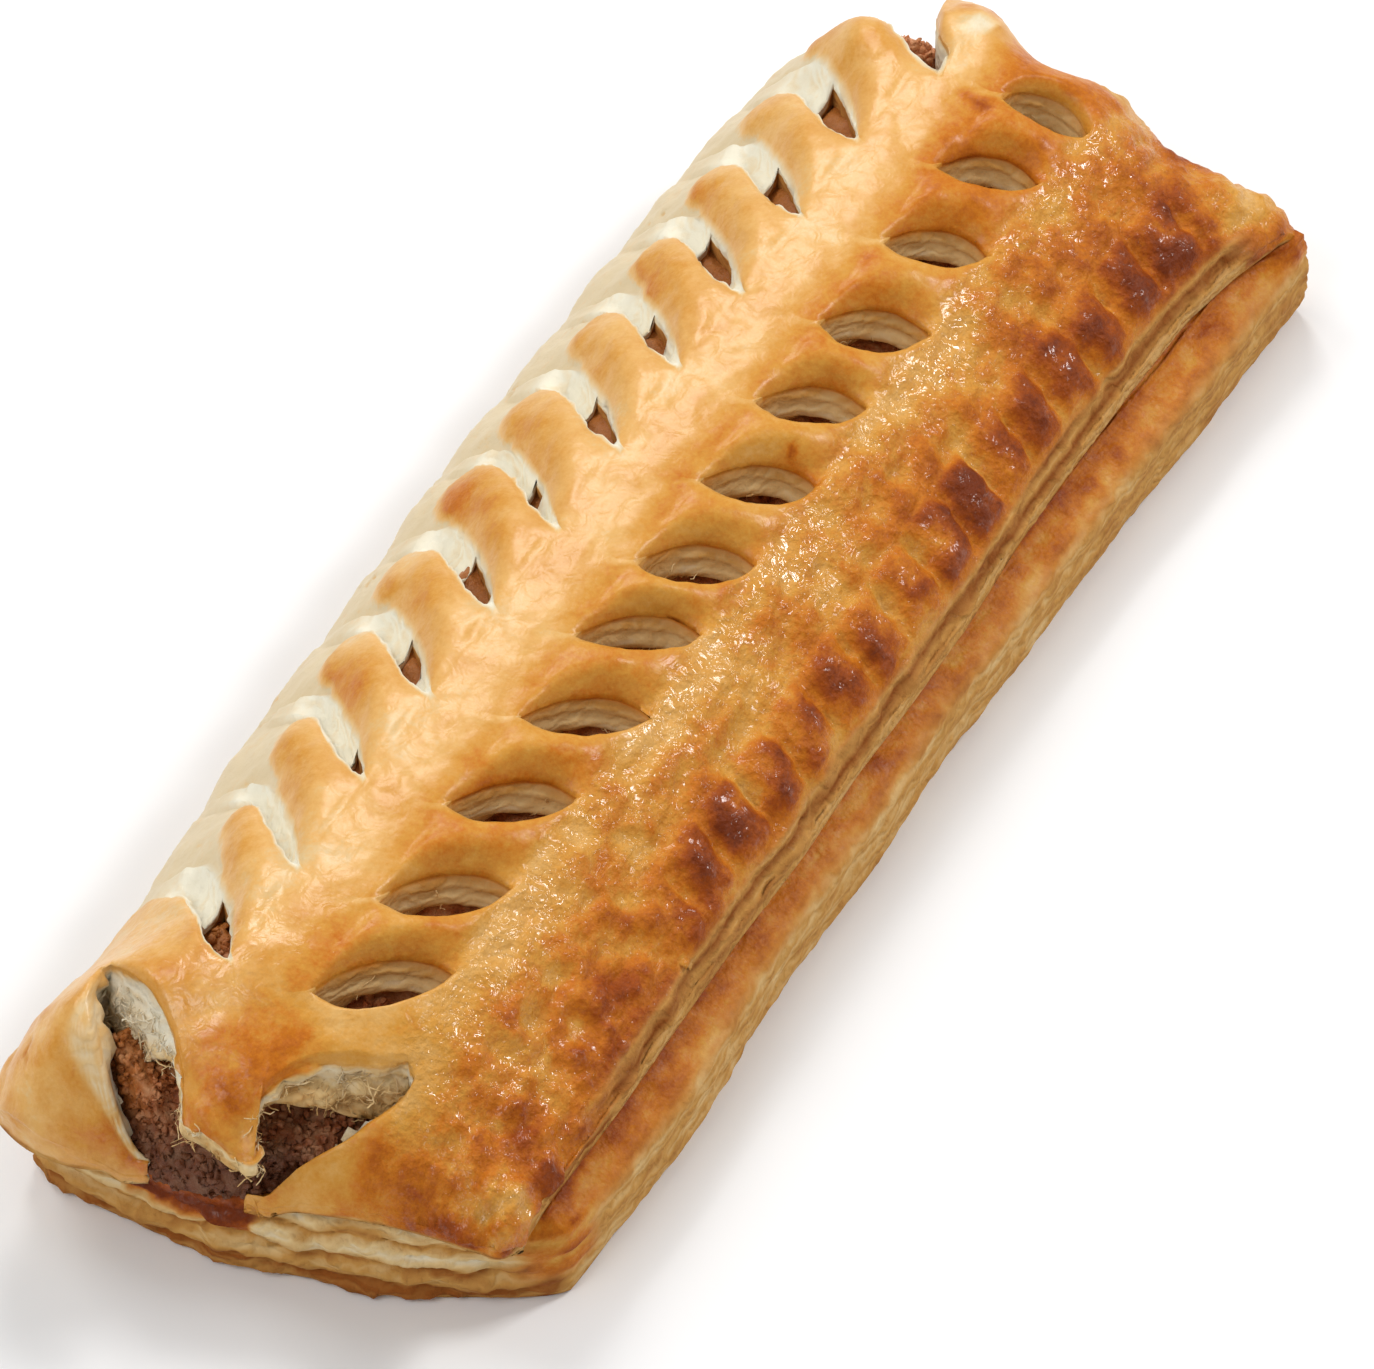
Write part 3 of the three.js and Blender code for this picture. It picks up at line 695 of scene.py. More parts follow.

# how far the crust is baked, 0 to 1, and what is added in each place; the strips' slope and lip also hold
# painted shade, and their rim a painted highlight
bakeTones = {
    "plain": 0.27, "leftSide": -0.05, "patches": 0.09, "blisters": 0.04, "farRidge": -0.07,
    "stripSlopeBrownAndShade": 0.05, "stripLipBrownAndShade": 0.1, "stripRimPaleAndHighlight": -0.12, "stripMiddle": 0.22, "leftStrip": 0.16,
    "tongueTip": 0.2,
    "flank": 0.29, "shoulder": 0.1, "sideBlisters": 0.11, "sideLeast": 0.31, "crimp": 0.36, "edge": 0.1,
    "nearEnd": 0.14, "farEnd": 0.12, "farCorner": -0.2, "crack": 0.25,
}

# egg wash: most on the shoulder, the bumps and the side of the ridge away from them
glossTones = {
    "plain": 0.16, "shoulder": 0.6, "crimp": 0.26, "ridge": 0.4, "nearTop": 0.36, "sheen": 0.8,
    "nearFlank": 0.35,
}

# places on the crust made darker or lighter: X, Y, reach along X, reach along Y, how much; most are baked
# spots, the one at X -78.4, Y -11.4 is painted shade
crustSpots = [
    (-78.5, -23.5, 1.6, 1.0, 0.22), (-74.5, -26, 2.4, 0.8, 0.2), (-71, -20.5, 2, 1, 0.14),
    (-76, -20, 1.6, 0.8, 0.15), (-75, -23.4, 1.6, 1.2, -0.2), (-66, -22.5, 3, 1.2, 0.14),
    (-58, -21, 2.2, 1.6, 0.14), (-48.5, -22, 2.2, 2, 0.26), (-53, -18.5, 2, 1, 0.12),
    (-42, -19.4, 1.2, 0.8, 0.2), (-43, -25, 3, 1.4, 0.16), (-28, -12, 1.6, 0.8, 0.14),
    (4.5, 1, 1.4, 1.6, 0.18), (4, 3, 1.2, 1.4, 0.1), (14.8, -6.4, 0.6, 0.5, 0.35),
    (37, 2.4, 2.4, 1.6, 0.16), (41, -1, 2, 1.2, 0.13), (66.9, -0.9, 1.3, 1.1, 0.25), (56, 1, 3, 1.6, 0.12),
    (77.5, -22, 2, 2.6, 0.16), (72, -20.5, 3, 2, 0.16), (82.5, 6, 1.5, 1.5, 0.4), (80, 1, 4, 3, 0.1),
    (-78, 7, 3, 2.4, 0.05), (-80, 0.5, 2.6, 2, 0.06), (-74, -2, 3, 2, 0.05), (-68, 6.5, 3.5, 3, -0.14),
    (-84.5, 11, 1.5, 1.6, 0.12), (71.5, 4, 3, 2, -0.2), (78, -4, 2, 4, -0.1), (82, -27, 3, 3, -0.1),
    (83, -9.5, 3, 4, -0.35), (77, 5.5, 3, 2.5, -0.2), (67, 1.5, 1.2, 1.2, 0.25), (-77, -28, 5, 4, -0.34),
    (-78, 2, 2.2, 2.2, -0.1), (80.5, 8.5, 1.6, 1.4, 0.24), (-74, 6.5, 4, 3, -0.12),
    (-40.2, -25.5, 0.9, 0.9, -0.5), (-84, 20, 2, 6, 0.06), (-73.6, -25.8, 4, 3.2, 0.24),
    # the second place on the next line darkens the near lobe's lower edge: painted shade
    (-73.6, -25.8, 2.2, 1.7, -0.5), (-78.4, -11.4, 3.2, 2.4, 0.2), (-77.2, -15.5, 2.2, 2.2, 0.1),
]


def crimpBumps(points, share):
    # the row of bumps, 0 to 1, and the band that it lies in
    x = points[:, 0]
    wander = 0.45 * uneven(x, 0, 9, 1.3) + 0.3 * lumps(points, 2.2, 7)
    offRow = np.abs(share) - crimps["share"]
    phase = (x + wander - crimps["firstX"]) / crimps["pitch"] + offRow * crimps["slant"]
    bump = np.sqrt(clamp01(1 - (crimps["steepness"] * (phase - np.round(phase))) ** 2))
    band = np.sqrt(clamp01(1 - (offRow / crimps["halfShare"]) ** 2)) * (share < 0)
    return bump * band * plateau(x, crimps["startX"], crimps["endX"]), band


def lidFeatures(points, at):
    # noises and zones that the relief and the tones both use
    x, y, share, kind = points[:, 0], points[:, 1], at.share, at.kind
    away, right = np.abs(share), share < 0
    crimp, band = crimpBumps(points, share)
    at.away, at.right, at.crimp, at.band, at.outer = away, right, crimp, band, smooth(0.9, 1.0, at.onTop)
    for key, (start, full) in sideZones.items():
        setattr(at, key, smooth(start, full, away) * right)
    at.pressed = at.pressed * plateau(x, (-66, -50), (72, 77))
    at.blister = crust(points, crustRelief["blisterSize"], 11)
    at.patches = crust(points, 7.0, 15, 2)
    at.leaves = lumps(points * [0.25, 0.25, 1], 0.5, 41)
    at.leaf = np.sin(away * crustRelief["leafTurns"] + 2.2 * lumps(points * [0.2, 1, 1], 3.0, 63))
    at.pale = 1 - at.crusted
    at.slitFloor = at.pale * ((kind >= 3) & (kind % 2 == 1)) * (1 - smooth(0.7, 0.85, share))
    cracks = 1 - clamp01(np.abs(lumps(points * [0.35, 1, 1], 1.4, 65)) / 0.07)
    at.cracks = cracks * smooth(0.3, 0.6, lumps(points, 5.0, 67)) * plateau(share, (0.74, 0.84), (0.93, 0.98))
    at.tears = spots(x, y, crustRelief["tears"])
    ends = ((kind == 0) & (at.across < 0.05)) | ((kind == kind.max()) & (at.across > 0.97))
    at.outerWall = (away > 0.97) | ends
    at.frayed = 3 * spots(x, y, [(-40.2, -25.5, 0.8, 0.8, 1)]) * at.outer


def lidRelief(points, at):
    size = crustRelief
    x, blister, crimp = points[:, 0], at.blister, at.crimp
    fine = crust(points, size["fineSize"], 23)
    wrinkles = crust(points, size["wrinkleSize"], 31)
    rough = at.lower * lerp(1.8, 1.0, smooth(-60, -40, x)) + 0.35 * at.flank
    crumpled = bell(at.away, 0.56, 0.13) * at.right * smooth(-66, -50, x)
    height = crimps["height"] * crimp + size["blister"] * blister + size["fine"] * fine
    amount = rough * (1 - 0.6 * crimp) + 0.9 * crumpled
    height = height + amount * (size["roughBlister"] * blister + size["wrinkle"] * wrinkles)
    height = height + size["ripple"] * at.lower * (1 - crimp) * crust(points, (1.8, 0.8, 0.8), 33)
    height = height + size["singleBlister"] * at.band * smooth(-30, -44, x) * np.maximum(blister, 0)
    height = height + at.pressed * (size["pressedLeaf"] * at.leaf - size["pressedIn"])
    height = height + size["edgeWave"] * at.edge * crust(points, 5.0, 61, 2)
    height = height - size["crack"] * at.cracks
    height = height + size["paleSkin"] * at.pale * crust(points, 2.2, 37)
    height = height + size["slitFloor"] * at.slitFloor * crust(points, 1.2, 39)
    onWalls = size["wallLeaf"] * at.leaves + size["wallFine"] * fine
    honeycomb = (at.kind <= 2) & (at.here > 0) & (at.across < 0.3)
    onWalls = onWalls + np.where(honeycomb, size["honeycomb"] * crust(points, 1.4, 45), 0)
    walls = (1 - at.outer) * smooth(0.0, 0.1, at.onTop)
    torn = size["farTear"] * at.tears * at.onTop * crust(points, (1.4, 1.4, 0.9), 93)
    return at.outer * height + walls * onWalls + torn


def lobeRim(points, at):
    # the pale torn rim of the near lobe along the left large slit
    share, kind = at.share, at.kind
    onLobe = (share > 0.3) & (share < 0.85)
    rim = np.where(kind == 0, smooth(0.36, 0.5, at.across), kind == 1) * onLobe
    streaks = 0.75 + 0.5 * crust(points, (3.0, 1.0, 1.0), 71, 2)
    return rim * at.next * clamp01(streaks)


def lidCut(x, at, rim):
    # 1 where the cut dough shows, 0 on the crust
    share, kind, onTop, right = at.share, at.kind, at.onTop, at.right
    wrapped = at.outerWall & ~(right & (at.away > 0.97) & (x < 74))
    wrapped |= (kind == 0) & (share > -0.3) & (share < -0.1)
    cut = np.where(wrapped, 1 - smooth(0.12, 0.3, onTop), 1 - smooth(0.84, 0.94, onTop))
    cut = np.where((kind <= 1) & (share > -0.2) & (share < -0.1), 0, cut)
    cut = np.maximum(cut, np.where(right, 0.85 * at.pressed, at.slitFloor))
    cut = np.maximum(cut, 0.7 * smooth(0.3, 0.6, at.tears + 0.15 * at.blister))
    return np.maximum(cut, rim)


def lidToast(at, rim):
    share, kind, onTop, right = at.share, at.kind, at.onTop, at.right
    outerWall, leaves = at.outerWall, at.leaves
    rightWall = cutTones["slitWall"] + cutTones["slitLip"] * smooth(0.5, 0.88, onTop)
    toast = np.where(right & (kind > 2), rightWall, cutTones["leftWall"])
    toast = np.where(outerWall, cutTones["outerWall"], toast)
    toast = np.where((kind <= 1) & ~outerWall, np.minimum(toast, cutTones["nearEndMost"]), toast)
    underTongue = 0.3 * bell(share, 0.06, 0.16) + 0.22 * smooth(-0.1, -0.2, share)
    toast = toast + np.where(kind == 2, underTongue, 0) + np.where(outerWall, 0.3, 0.12) * leaves
    # cut dough lower down in the near slits drawn darker: painted shade
    inNearSlits = (kind <= 2) & ~outerWall
    toast = toast + cutTones["shadeDeepInNearSlits"] * inNearSlits * (1 - smooth(0.2, 0.7, onTop))
    # walls inside the left holes toned dark brown: painted shade
    shadedLeftHole = ~right & (kind > 2) & (kind % 2 == 1) & (onTop < 0.8)
    toast = np.where(shadedLeftHole, cutTones["shadedLeftHole"], toast)
    toast = lerp(toast, cutTones["lobeRim"] + 0.1 * leaves, rim)
    return lerp(toast, cutTones["pressed"] - cutTones["pressedLeaf"] * at.leaf, at.pressed)


def lidGloss(points, share, crimp):
    x, y = points[:, 0], points[:, 1]
    places = {"shoulder": bell(share, -0.54, 0.12) * smooth(-60, -40, x), "crimp": crimp}
    places["shoulder"] *= 0.3 + 0.7 * smooth(-0.35, 0.45, crust(points, 4.5, 91, 2))
    places["ridge"] = bell(share, 0.14, 0.3)
    places["nearTop"] = smooth(0.05, 0.3, share) * (1 - smooth(-72, -60, x))
    places["sheen"] = bell(x, -73, 4.5) * bell(y, 7.5, 3.6)
    places["nearFlank"] = smooth(-0.48, -0.6, share) * (1 - smooth(-60, -45, x))
    return glossTones["plain"] + sum(glossTones[key] * place for key, place in places.items())


def lidBake(points, at):
    tone = bakeTones
    x, y = points[:, 0], points[:, 1]
    share, across, kind, here = at.share, at.across, at.kind, at.here
    right, away, crimp = at.right, at.away, at.crimp
    blister, patches = at.blister, at.patches
    level = tone["plain"] + tone["leftSide"] * smooth(0, 0.1, share) + tone["patches"] * patches
    level = level + tone["blisters"] * blister + tone["farRidge"] * bell(share, 0.1, 0.25) * smooth(20, 60, x)
    # strips: their slope into the slit before them and the lip of that slope darker, partly browning and
    # partly painted shade; the rim over the next slit lighter, partly paler crust and partly painted
    # highlight
    strip = (kind >= 4) & (kind % 2 == 0)
    last = kind == kind.max()
    slope = here ** 0.5 * clamp01(1 - across / 0.8) ** 1.2
    lip = here ** 0.6 * clamp01(1 - across / 0.14)
    rim = at.next * smooth(0.9, 1.0, across)
    onStrip = tone["stripSlopeBrownAndShade"] * slope + tone["stripLipBrownAndShade"] * lip + tone["stripRimPaleAndHighlight"] * rim
    level = level + np.where(strip & right & ~last, onStrip, 0)
    level = level + np.where(last & right, 0.08 * slope - 0.3 * lip, 0)
    onLeft = tone["leftStrip"] * smooth(0.26, 0.5, share) * bell(across, 0.3, 0.5) * (1 + 0.6 * patches)
    level = level + np.where(strip & ~right, onLeft + 0.02 * smooth(0.15, 0.4, share), 0)
    middle = plateau(away, (0.03, 0.15), (0.42, 0.5)) * bell(across, 0.5, 0.8)
    level = level + np.where(strip & right, tone["stripMiddle"] * middle, 0)
    level = level + tone["tongueTip"] * bell(x, -79, 6) * bell(y, 1.5, 6)
    # the crimped side
    shoulder = plateau(away, (0.42, 0.5), (0.56, 0.66)) * smooth(-52, -35, x)
    flank = smooth(0.5, 0.68, away)
    onSide = tone["flank"] * flank + tone["shoulder"] * shoulder
    onSide = onSide + (flank + shoulder) * tone["sideBlisters"] * blister
    level = np.where(right, level + onSide, level * at.crusted)
    level = np.where(right, np.maximum(level, tone["sideLeast"] * smooth(0.3, 0.45, away)), level)
    level = level + tone["crimp"] * crimp * (0.95 + 0.25 * patches + 0.12 * blister)
    level = level + np.where(right, tone["edge"] * smooth(0.93, 0.97, away) * (1 - crimp), 0)
    # the two ends
    nearPart = 1 - smooth(-79, -62, x)
    farPart = smooth(30, 66, x) * (1 - smooth(0.3, 0.6, share))
    level = level + (tone["nearEnd"] - 0.08 * smooth(0.55, 0.75, away) + 0.1 * blister) * nearPart
    farCorner = smooth(72, 80, x) * smooth(0.62, 0.8, away) * right
    level = level + tone["farEnd"] * farPart + tone["farCorner"] * farCorner
    streaks = crust(points * [0.5, 1.4, 1], 2.2, 57, 2)
    level = level + np.where(right, flank, 0) * (1 - smooth(-50, -38, x)) * (0.02 + 0.1 * streaks)
    return level + tone["crack"] * at.cracks + spots(x, y, crustSpots)


def dressLid(points, normals, at):
    # the crust's relief, then the masks that its materials and the scattered bits read
    share, onTop, across, kind = at.share, at.onTop, at.across, at.kind
    lidFeatures(points, at)
    x = points[:, 0]
    points = points + normals * lidRelief(points, at)[:, None]
    rim = lobeRim(points, at)
    cut = lidCut(x, at, rim)
    bake = lerp(lidBake(points, at), lidToast(at, rim), cut)
    texture = 0.15 + 0.75 * smooth(0.4, 0.5, at.away) * at.right + 0.15 * (1 - smooth(-70, -50, x))
    onWall = (across < 0.02) & (onTop < 0.7)
    torn = (kind == 2) & (at.here > 0.2) & onWall & (onTop > 0.1)
    inSlit = (kind >= 4) & (kind % 2 == 0) & at.right & onWall & (onTop < 0.5) & (at.here > 0.5)
    frayed = np.maximum(0.3 * ((kind == 1) & onWall), at.frayed)
    masks = {"bake": bake, "cut": cut, "gloss": lidGloss(points, share, at.crimp), "rough": texture,
             "torn": torn + 0.12 * inSlit, "frayed": frayed}
    return points, masks


# lower sheet, as rings round its outline from the middle of the underside up to the trough for the meat
base = {
    "around": 1040, "sideRows": 30, "halfLength": 84.0, "halfWidth": 30.0,
    "corner": 3.6,                      # how far its corners are rounded off
    "bulge": 4.6,                       # how far its top edge stands in from the widest place
    "foot": 1.1,
    "underInsets": (9.0, 4.0, 2.2, 1.4),
    "ledgeInsets": (0.4, 0.9, 1.6, 2.6, 4.0, 5.8),
    "trough": ((12.6, 10.0), (14.0, 5.4)),                          # inset and height of its rings
    "sideGroove": 0.27, "ledgeGroove": 1.3,
    "layerStep": 3.1, "leaf": 0.3, "ledge": 0.5, "pit": 0.2, "crustLeaf": 0.22, "crustPit": 0.12,
    "cutTone": 0.44, "rightTone": 0.2, "nearFaceShade": 0.14, "rimTone": 0.59, "gloss": 0.04,
    "stain": (-82.5, 5, 4, 7.5),        # dried meat juice on the near face: X, Y and reaches
    "stainGloss": 0.3, "stainTone": 0.5,
}


def baseOutline(a, b):
    s, t = 0.5 + 0.5 * a, 0.5 + 0.5 * b
    pull = base["corner"] * (0.32 * np.abs(a * b) ** 7 + 0.3 * ((a < 0) & (b > 0)) * np.abs(a * b) ** 12)
    nominal = lerp(rollForm["nearX"], rollForm["farX"], s)
    left = leftEdgeY(nominal) + 0.8 + 0.3 * uneven(nominal, 5, 5, 2.4)
    right = -29.7 - 0.0004 * (nominal + 12) ** 2 + 0.35 * uneven(nominal, 7, 6, 0.2)
    y = lerp(left, right, t) + np.sign(b) * pull
    near = -83.3 - 0.17 * y + 0.0075 * y * y + 0.3 * uneven(2, y, 3.6, 1.4)
    far = 83.6 + 0.3 * uneven(6, y, 4, 0.3)
    return lerp(near, far, s) - np.sign(a) * pull, y


def walkRound():
    # positions round the outline, -1 to 1 along the roll and across it, evenly spaced
    length, width, count = base["halfLength"], base["halfWidth"], base["around"]
    t = np.arange(count) / count * 4 * (length + width)
    a, b = np.zeros(count), np.zeros(count)
    legs = [(2 * length, lambda d: (-1 + d / length, 1)), (2 * width, lambda d: (1, 1 - d / width)),
            (2 * length, lambda d: (1 - d / length, -1)), (2 * width, lambda d: (-1, -1 + d / width))]
    for leg, place in legs:
        here = (t >= 0) & (t < leg)
        a = np.where(here, place(t)[0], a)
        b = np.where(here, place(t)[1], b)
        t = t - leg
    return a, b


def baseRings(a, b, topZ):
    # inset and height of each ring, and whether it lies under the sheet, on its side, on its ledge
    # or in its trough
    rings = [(np.full(len(a), inset), np.zeros(len(a)), 0) for inset in base["underInsets"]]
    corner = smooth(0.9, 0.98, a) * smooth(0.6, 0.95, b)
    onRight = smooth(0.4, 0.9, b) * (1 - smooth(0.93, 1.0, a))
    bulge = base["bulge"] * np.where(b < 0, 0.4, 1.0) * (1 - 0.8 * corner)
    for level in np.linspace(0, 1, base["sideRows"] + 1):
        inset = bulge * smooth(0.62, 1, level) ** 2 + base["foot"] * (1 - smooth(0, 0.2, level))
        rings.append((inset, level * topZ - base["sideGroove"] * onRight * bell(level, 0.97, 0.05), 1))
    for extra in base["ledgeInsets"]:
        rings.append((bulge + extra, topZ - base["ledgeGroove"] * onRight * bell(extra, 0.5, 0.6), 2))
    return rings + [(np.full(len(a), inset), np.full(len(a), z), 3) for inset, z in base["trough"]]


def dressBase(flat, normals, a, b, level, side):
    # relief and masks of the lower sheet; its near face is cut dough but for the browned corners
    crustFrom = np.where(level < 0.55, 0.9, 0.62)
    nearFace = smooth(-0.9, -0.97, a) * (1 - smooth(crustFrom, 0.97, b))
    rightFace = smooth(0.85, 0.95, b)
    cutFrom = lerp(0.5, 0.66, rightFace)
    cutZone = side * np.maximum(1 - smooth(0, 0.2, level - cutFrom), nearFace * (1 - smooth(0.9, 1.0, level)))
    cutZone = cutZone * (1 - smooth(-0.93, -0.98, a) * smooth(0.7, 0.9, b) * smooth(0.2, 0.4, level))
    leaves = crust(flat * [0.16, 0.16, 1.0], 0.8, 51, 2)
    pits = crust(flat, 1.6, 61)
    wander = 0.7 * lumps(flat * [1, 1, 0], 9.0, 55) + 0.25 * lumps(flat * [1, 1, 0.3], 3.0, 56)
    ledge = np.abs(np.sin(np.pi * (flat[:, 2] / base["layerStep"] + wander))) ** 0.6 - 0.6
    onCut = base["leaf"] * leaves + base["ledge"] * ledge + base["pit"] * pits
    onCrust = base["crustLeaf"] * leaves + base["crustPit"] * pits
    height = side * lerp(onCrust, onCut * (1 + 0.8 * nearFace - 0.5 * rightFace), cutZone)
    flat = flat + normals * (height * smooth(0.0, 0.06, level))[:, None]
    flat[:, 2] = np.maximum(flat[:, 2], 0)
    x, y = flat[:, 0], flat[:, 1]
    # the near face darker overall and towards its foot: painted shade, with some real browning of its bottom
    # layer
    toast = base["cutTone"] + 0.22 * smooth(0.5, 0.0, level) * nearFace
    # darker in the grooves between the ledges: painted shade, partly a browned line
    toast = toast - 0.35 * ledge * side + 0.1 * (pits + leaves)
    toast = toast + rightFace * (base["rightTone"] + 0.12 * smooth(10, 70, x) + 0.25 * ledge * side)
    toast = toast + nearFace * (base["nearFaceShade"] + 0.26 * (1 - smooth(0.25, 0.6, level)) - 0.3 * ledge * side)
    rim = base["rimTone"] + 0.16 * leaves + 0.08 * pits + 0.14 * smooth(0.86, 0.98, level) * rightFace
    stainX, stainY, reachX, reachY = base["stain"]
    away = np.hypot((x - stainX) / reachX, (y - stainY) / reachY) + 0.12 * crust(flat, 2.2, 58)
    stain = (1 - smooth(0.86, 1.0, away)) * smooth(0.5, 0.62, level)
    masks = {"cut": cutZone * (1 - stain), "bake": lerp(toast, rim, 1 - cutZone) + base["stainTone"] * stain,
             "gloss": base["gloss"] + base["stainGloss"] * stain, "rough": np.full(len(flat), 0.5)}
    return flat, masks


def makeBasePiece():
    a, b = walkRound()
    topZ = rollForm["seamHeight"] - rollForm["sheetGap"]
    rings = baseRings(a, b, topZ)
    points = []
    for inset, z, _ in rings:
        x, y = baseOutline(a * (1 - 0.55 * inset / base["halfLength"]), b * (1 - inset / base["halfWidth"]))
        points.append(np.stack([x, y, z], axis=-1))
    points = np.array(points)
    ids = np.arange(len(rings) * len(a)).reshape(len(rings), -1)
    after = np.roll(ids, -1, axis=1)
    quads = np.stack([ids[:-1], after[:-1], after[1:], ids[1:]], axis=-1).reshape(-1, 4)
    first, last = ids[0].tolist(), ids[-1].tolist()
    if ringsTurnInward(points[4:]):
        faces = quads[:, ::-1].tolist() + [first, last[::-1]]
    else:
        faces = quads.tolist() + [first[::-1], last]
    level = np.concatenate([z / topZ for _, z, _ in rings])
    side = np.repeat([kind == 1 for _, _, kind in rings], len(a)) * 1.0
    flat = points.reshape(-1, 3)
    alongAll, acrossAll = np.tile(a, len(rings)), np.tile(b, len(rings))
    flat, masks = dressBase(flat, skinNormals(flat, faces), alongAll, acrossAll, level, side)
    print("lower sheet:", sum(len(f) - 2 for f in faces), "triangles")
    return makePiece("pastryBase", flat, faces, masks)


def ringsTurnInward(points):
    a, b, c = points[0, 0], points[0, 1], points[1, 0]
    out = a - points[0].mean(axis=0)
    return np.dot(np.cross(b - a, c - a), out) < 0


# sausage meat, with bumps of X, Y, reach along X, reach along Y and height where it shows
meat = {
    "columns": 250, "rows": 70, "layers": 14, "margin": 0.32,
    "mouth": (5.4, 10.0, 6.8),          # where it reaches out under the tongue: centre, width, reach
    "bumps": [(-81.5, 12.6, 4, 3.4, 5.2), (-77.5, 15.5, 3.4, 3, 4.6), (-77, -6, 5, 3, 1.2),
              (78, 12.4, 3.4, 3.6, 5.8), (75, 15, 3, 3, 3.0)],
    "underOpenings": 2.9,               # how far under the crust it lies where the left slits gape
    "grain": (2.6, 0.75),               # size and height of its coarse surface
}


def meatRise(x, y):
    w = y - rollForm["ridgeY"]
    lean = chevronLean(np.maximum(w, 0) / rollForm["leftWidth"])
    gap = np.maximum(domeHeight(x, y) - meat["underOpenings"] - roomRoof(x, y), 0)
    rise = spots(x, y, meat["bumps"])
    for k, (start, end, _) in enumerate(lid["leftOpenings"]):
        off = np.abs(x - lid["firstSlitX"] - k * lid["slitPitch"] - lean)
        across = plateau(w, (start - 3.5, start - 1), (end + 1, end + 3.5))
        rise = rise + gap * across * (1 - smooth(2.6, 5.4, off)) * (end > start)
    return rise


def makeMeatPiece():
    ni, nj, nk = meat["columns"], meat["rows"], meat["layers"]
    s, t, v = np.meshgrid(np.linspace(0, 1, ni + 1), np.linspace(0, 1, nj + 1), np.linspace(0, 1, nk + 1),
                          indexing="ij")
    a, b = 2 * s - 1, 2 * t - 1
    margin = meat["margin"]
    half = np.where(b > 0, room["left"], room["right"]) - margin
    y = rollForm["ridgeY"] + b * half * (1 - 0.2 * np.abs(a) ** 8)
    mouthY, mouthWidth, mouthReach = meat["mouth"]
    reach = mouthReach * bell(y, mouthY, mouthWidth) * smooth(0.3, 0.5, v)
    reach = reach * (1 - 0.35 * smooth(0.65, 1, v))
    near = room["nearX"] - reach + margin
    far = room["farX"] - 0.8 * np.abs(b) ** 4 - margin
    x = lerp(near, far, s)
    arch = clamp01(1 - np.abs(b) ** 2.4) ** 0.6
    ends = (1 - 0.3 * np.abs(a) ** 16) * (0.62 + 0.38 * smooth(0, 17, x - near))
    side = rollForm["seamHeight"] + 0.4
    top = side + (room["roof"] - side) * arch * ends - margin + meatRise(x, y)
    floor = room["floor"] + margin
    z = lerp(floor, top, v)
    points = np.stack([x, y, z], axis=-1)
    faces = latticeSkin(np.ones((ni, nj, nk), bool), coarse=4)
    flat, faces, height = keepUsed(points.reshape(-1, 3), faces, v.reshape(-1))
    normals = skinNormals(flat, faces)
    grainSize, grainHeight = meat["grain"]
    flat = flat + normals * (height * (grainHeight * crust(flat, grainSize, 81, 4) - 0.4))[:, None]
    print("meat:", sum(len(f) - 2 for f in faces), "triangles")
    x, y, z = flat.T
    onTop = height > 0.75
    front = 1 - smooth(-83, -76, x)
    nearShown = (1 - smooth(-66, -60, x)) * (bell(y, 3, 13) > 0.2) * (onTop | (front > 0.2))
    farShown = smooth(70, 73, x) * smooth(5, 7, y) * onTop
    pink = bell(x, 77, 6) * smooth(6, 12, y)
    # darker at the foot of the near end and under the crust on the crimped side: painted shade, partly
    # browned meat
    shadeAndBrowning = (1 - smooth(-81.5, -76.5, x)) * (1 - smooth(13.5, 18, z))
    masks = {
        "pink": pink,
        # meat on the side under the left openings in a darker, warmer tone: partly its colour, partly painted
        # shade
        "warmAndShade": smooth(8, 12, y) * lerp(0.7, 1, smooth(-80, -76, x)) * (1 - pink),
        "shadeAndBrowning": shadeAndBrowning + 0.6 * smooth(2, -4, y) * (1 - smooth(-76, -68, x)),
        "shown": np.maximum(nearShown, farShown),
    }
    return makePiece("sausageMeat", flat, faces, masks)


# materials, from shared shader groups
def addNode(tree, kind, inputs=(), family="ShaderNode", **settings):
    # a node; an input is a constant or the output socket that feeds it
    node = tree.nodes.new(family + kind)
    for name, value in settings.items():
        setattr(node, name, value)
    for name, value in dict(inputs).items():
        socket = node.inputs[name]
        if isinstance(value, bpy.types.NodeSocket):
            tree.links.new(value, socket)
        elif socket.type == "RGBA":
            socket.default_value = (*value, 1)
        else:
            socket.default_value = value
    return node


def mixColours(tree, factor, a, b, blend="MIX"):
    node = addNode(tree, "Mix", data_type="RGBA", blend_type=blend)
    for socket, value in ((node.inputs[0], factor), (node.inputs[6], a), (node.inputs[7], b)):
        if isinstance(value, bpy.types.NodeSocket):
            tree.links.new(value, socket)
        else:
            socket.default_value = value if socket.type == "VALUE" else (*value, 1)
    return node.outputs[2]


def mathNode(tree, operation, a, b=0.0, clamp=False):
    return addNode(tree, "Math", {0: a, 1: b}, operation=operation, use_clamp=clamp).outputs[0]


def multiplyAdd(tree, a, b, c):
    return addNode(tree, "Math", {0: a, 1: b, 2: c}, operation="MULTIPLY_ADD").outputs[0]


def ramp(tree, value, low, high):
    return addNode(tree, "MapRange", {"Value": value, "From Min": low, "From Max": high}).outputs[0]


def noise(tree, place, scale, detail, roughness=0.5, distortion=0.0):
    inputs = {"Vector": place, "Scale": scale, "Detail": detail, "Roughness": roughness,
              "Distortion": distortion}
    return addNode(tree, "TexNoise", inputs).outputs[0]


